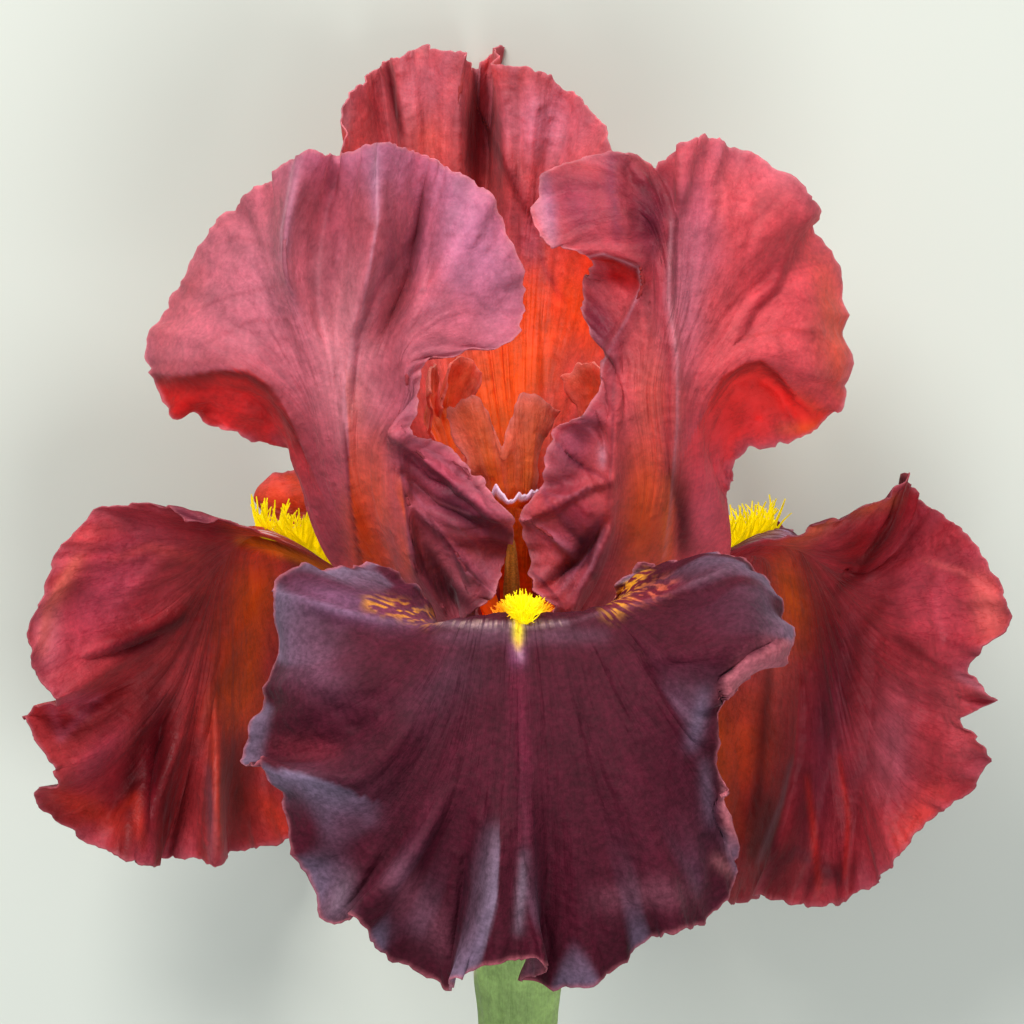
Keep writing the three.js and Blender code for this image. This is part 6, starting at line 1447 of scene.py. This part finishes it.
style_tissue = petal_material("style_tissue", 0.5, 0.06, (1.0, 0.8, 0.8), 0.35, 0.22, 22)
style_grid = blade_grid(0, 1, CLAW_OF_STYLE, STYLE_ARM, 8, 4, 1)
for index, (side_name, (around, lean)) in enumerate(STYLE_LEANS.items()):
    arm, edge = ruffled(stood(refined(style_grid, STYLE_ROWS, STYLE_COLUMNS), around, lean), 31 + index, 0.45)
    across = np.linspace(0, 1, 73)
    root, rim = smooth_curve(LIP_ROOT, across), smooth_curve(LIP_EDGE, across)
    rim[:, 1] -= LIP_NOTCH * np.abs(np.sin(np.pi * LIP_TEETH * across))
    lip = np.array([root + share * (rim - root) for share in np.linspace(0, 1, 13)])
    for part, sheet, half in (("arm", arm, ARM_HALF), ("lip", stood(lip, around, lean), LIP_HALF)):
        length, breadth, st = sheet_shares(*sheet.shape[:2])
        blush = 0.5 + 0.5 * vein_noise(length, breadth, *STYLE_BLUSH, 41)
        if part == "arm":
            tip = ease(0.35, 0.95, length + 0.2 * blush)[..., None]
            tint = STYLE_FOOT + tip * (STYLE_TIP - STYLE_FOOT)
            cover = 0.8 * np.exp(-edge / 0.8) * ease(0.3, 0.5, length) + 0.25 * blush * tip[..., 0]
            # The arms at the back get painted light, paler than the front one.
            tint = (tint + cover[..., None] * (STYLE_EDGE - tint)) * (STYLE_PAINTED_LIGHT if index else 1)
        else:
            tint = STYLE_FOOT + ease(0.45, 0.8, length)[..., None] * (LIP_COLOUR - STYLE_FOOT)
        piece = add_piece(f"style_{part}_{side_name}_tissue", two_sides(sheet, half),
                          sheet_faces(*sheet.shape[:2]), style_tissue,
                          np.tile(tint.reshape(-1, 3), (2, 1)), st)
        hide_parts("style_arm_" + side_name)


# ---------------------------------------------------------------- stamens
# Under each style arm stands a stamen: a slender pale filament and, along its end, a long anther that has
# split down its middle and shows golden pollen.
FILAMENT_ROUTE = [[0, SEAT_HEIGHT, 3.6], [0, -8, 8.5], [0, 0, 11]]
FILAMENT_RADIUS = 0.6
ANTHER_LONG, ANTHER_WIDE, ANTHER_THICK = 12.5, 1.5, 0.8
ANTHER_TAPER = 0.3
ANTHER_ASIDE, ANTHER_HEIGHT, ANTHER_OUT = -1.0, 8.0, 15.3
ANTHER_SLOPE = math.radians(32)
GROOVE_DEPTH, GROOVE_WIDTH = 0.35, 0.12
GRAIN_DEPTH, GRAIN_SIZE = 0.05, 0.7
RING_SIDES = 24
FILAMENT_FOOT, FILAMENT_END = np.array([0.72, 0.50, 0.34]), np.array([0.62, 0.33, 0.30])
POLLEN_GOLD = np.array([0.66, 0.25, 0.03])


def closed_body(rings):
    """Points and faces of a closed body from rings of points, with a flat cap at each end."""
    count, sides = rings.shape[:2]
    place = np.arange(count * sides).reshape(count, sides)
    turned = np.roll(place, -1, axis=1)
    skin = np.stack([place[:-1].ravel(), turned[:-1].ravel(), turned[1:].ravel(), place[1:].ravel()], axis=1)
    return rings.reshape(-1, 3), [skin, place[:1, ::-1], place[-1:]]


def rings_along(route, radii):
    """Round rings square to a route, with radii along it."""
    ahead = unit(np.gradient(route, axis=0))
    aside = unit(np.cross(ahead, [1.0, 0, 0]))
    other = np.cross(ahead, aside)
    angles = np.linspace(0, 2 * np.pi, RING_SIDES, endpoint=False)
    offset = (np.cos(angles)[None, :, None] * aside[:, None] + np.sin(angles)[None, :, None] * other[:, None])
    return route[:, None] + radii[:, None, None] * offset


def living_material(name, roughness, speckle, scale, bump):
    """Firm tissue of one tint with fine speckles and grain."""
    material, tree, shader, tint, place = new_material(name)
    grain = noise_nodes(tree, place, scale, 4.0)
    value = add_node(tree, "MapRange",
                     inputs={"Value": grain, 1: 0.3, 2: 0.7, 3: 1 - speckle, 4: 1 + speckle}).outputs[0]
    colour = add_node(tree, "HueSaturation", inputs={"Color": tint, "Value": value}).outputs[0]
    tree.links.new(colour, shader.inputs["Base Color"])
    shader.inputs["Roughness"].default_value = roughness
    tree.links.new(bump_nodes(tree, grain, 0.5, bump), shader.inputs["Normal"])
    return material


filament_tissue = living_material("filament_tissue", 0.45, 0.1, 900.0, 0.0001)
pollen = living_material("pollen", 0.85, 0.3, 3200.0, 0.0003)
for side_name, (around, lean) in STYLE_LEANS.items():
    route = smooth_curve(FILAMENT_ROUTE, np.linspace(0, 1, 25))
    rings = rings_along(route, FILAMENT_RADIUS * np.linspace(1, 0.7, 25))
    points, faces = closed_body(stood(rings, around, lean))
    share = ease(SEAT_HEIGHT, 0, points[:, 1:2])
    tint = FILAMENT_FOOT + share * (FILAMENT_END - FILAMENT_FOOT)
    piece = add_piece(f"filament_{side_name}_stalk", points, faces, filament_tissue, tint)
    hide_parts("filament_" + side_name)

    # The anther: a rounded strip with a groove down each face.
    along = np.linspace(-1, 1, 61)
    radii = (1 - np.abs(along) ** 6) ** 0.5 + 0.02
    angles = np.linspace(0, 2 * np.pi, 40, endpoint=False)
    groove = 1 - GROOVE_DEPTH * np.exp(-((np.sin(angles) ** 2 - 1) / GROOVE_WIDTH) ** 2)
    half_long = ANTHER_LONG / 2 + ANTHER_THICK
    strip = np.stack([
        ANTHER_WIDE * (radii * (1 - ANTHER_TAPER * (1 + along)))[:, None] * np.cos(angles)[None],
        half_long * along[:, None] + 0 * angles[None],
        ANTHER_THICK * radii[:, None] * (np.sin(angles) * groove)[None],
    ], axis=-1)
    strip = strip * (1 + GRAIN_DEPTH * soft_noise(strip / GRAIN_SIZE, 51)[..., None] * np.array([1, 0, 1]))
    y = strip[..., 1] * math.cos(ANTHER_SLOPE) - strip[..., 2] * math.sin(ANTHER_SLOPE)
    z = strip[..., 1] * math.sin(ANTHER_SLOPE) + strip[..., 2] * math.cos(ANTHER_SLOPE)
    strip = np.stack([strip[..., 0] + ANTHER_ASIDE, y + ANTHER_HEIGHT, z + ANTHER_OUT], axis=-1)
    points, faces = closed_body(stood(strip[:, ::-1], around, lean))
    gold = np.broadcast_to(POLLEN_GOLD, points.shape)
    piece = add_piece(f"anther_{side_name}_strip", points, faces, pollen, gold)
    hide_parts("anther_" + side_name)


# ---------------------------------------------------------------- tube, ovary and stem
# The petals stand on the rim of a short tube. Below it are the ovary, with three swollen sides, and the
# firm green stem, cut straight across.
TURNED = {
    # name: slot, swelling on three sides, profile of radius and height, colours at the bottom and the top
    "perianth_tube": ("tube", 0.03, [[3.4, -42.2], [3.6, -34], [4.6, -26], [7, -17.4]],
                      (0.22, 0.36, 0.09), (0.42, 0.20, 0.05)),
    "ovary": ("ovary", 0.06, [[3, -64.4], [3.8, -61], [4.2, -56], [4, -50], [3.3, -42]],
              (0.20, 0.40, 0.09), (0.24, 0.40, 0.10)),
}
FINE_RIBS = (0.012, 18)  # height, as a share of the radius, and number round it
green_flesh = living_material("green_flesh", 0.42, 0.08, 400.0, 0.0001)
for name, (slot, swelling, profile, low_colour, high_colour) in TURNED.items():
    angles = np.linspace(0, 2 * np.pi, 96, endpoint=False)
    line = smooth_curve([[r, h, 0] for r, h in profile], np.linspace(0, 1, 60))
    ribs = swelling * np.cos(3 * angles) + FINE_RIBS[0] * np.cos(FINE_RIBS[1] * angles)
    radius = line[:, 0][:, None] * (1 + ribs[None])
    rings = np.stack([radius * np.sin(angles), np.broadcast_to(line[:, 1][:, None], radius.shape),
                      radius * np.cos(angles)], axis=-1)
    points, faces = closed_body(rings)
    share = ease(profile[0][1], profile[-1][1], points[:, 1:2])
    tint = np.array(low_colour) + share * (np.array(high_colour) - np.array(low_colour))
    piece = add_piece(name + "_flesh", points, faces, green_flesh, tint)
    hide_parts(name)

STEM_ROUTE = [[0, -64.2, 0], [0, -80, 0], [1.2, -116, -1.2]]
STEM_RADIUS = 3.5
STEM_GREEN = np.array([0.48, 0.70, 0.11])
route = smooth_curve(STEM_ROUTE, np.linspace(0, 1, 80))
rings = rings_along(route, STEM_RADIUS * (1 + 0.01 * line_noise(np.arange(80) / 9, 61)))
points, faces = closed_body(rings)
tint = STEM_GREEN * (1 + 0.12 * soft_noise(points * [0.9, 0.05, 0.9], 62)[:, None])
stem = add_piece("stem_flesh", points, faces, green_flesh, tint)
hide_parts("stem")


# ---------------------------------------------------------------- spathes
# Two bracts sheathe the stem and the ovary: green and ribbed below, thin and papery toward the margins.
SPATHE_BOTTOM, SPATHE_WAIST = -80, -66
SPATHE_POINT = 1.3
SPATHE_WRAP = math.radians(125)
SPATHES = {
    # name: side it faces, height of its tip and of its margins, radius at the foot, the waist and the tip
    "spathe_outer": (0, -46, -63, 5.4, 5.9, 8.4),
    "spathe_inner": (math.pi, -48, -61, 4.3, 4.9, 6.2),
}
SPATHE_RIBS, SPATHE_WAVES = (0.08, 40), 0.15
SPATHE_GREEN = np.array([0.36, 0.52, 0.17])
SPATHE_PAPER = np.array([0.62, 0.60, 0.36])
spathe_skin = petal_material("spathe_skin", 0.5, 0.1, (1.0, 1.0, 0.9), 0.25, 0.45, 60)
for index, (name, (around, tip, margin, foot, waist, mouth)) in enumerate(SPATHES.items()):
    length, across = np.meshgrid(np.linspace(0, 1, 70), np.linspace(1, -1, 121), indexing="ij")
    top = margin + (tip - margin) * (1 - np.abs(across)) ** SPATHE_POINT
    height = SPATHE_BOTTOM + length * (top - SPATHE_BOTTOM)
    low_radius = foot + (height - SPATHE_BOTTOM) / (SPATHE_WAIST - SPATHE_BOTTOM) * (waist - foot)
    high_radius = waist + (height - SPATHE_WAIST) / (tip - SPATHE_WAIST) * (mouth - waist)
    radius = np.where(height > SPATHE_WAIST, high_radius, low_radius)
    radius = radius + SPATHE_RIBS[0] * np.cos(across * SPATHE_RIBS[1])
    radius = radius + SPATHE_WAVES * soft_noise(np.stack([height / 6, across * 4], -1), 71)
    angle = around + across * SPATHE_WRAP
    sheet = np.stack([radius * np.sin(angle), height, radius * np.cos(angle)], axis=-1)
    edge = np.minimum((1 - np.abs(across)) * SPATHE_WRAP * waist, (1 - length) * (top - SPATHE_BOTTOM))
    half = (0.1 + 0.2 * ease(0, 3, edge))[..., None]
    paper = ease(3.5, 0.3, edge)[..., None]
    tint = SPATHE_GREEN + paper * (SPATHE_PAPER - SPATHE_GREEN)
    st = np.tile(np.stack([(across.ravel() + 1) / 2, length.ravel()], axis=1), (2, 1))
    piece = add_piece(name + "_skin", two_sides(sheet, half), sheet_faces(*sheet.shape[:2]), spathe_skin,
                      np.tile(tint.reshape(-1, 3), (2, 1)), st)
    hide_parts(name)
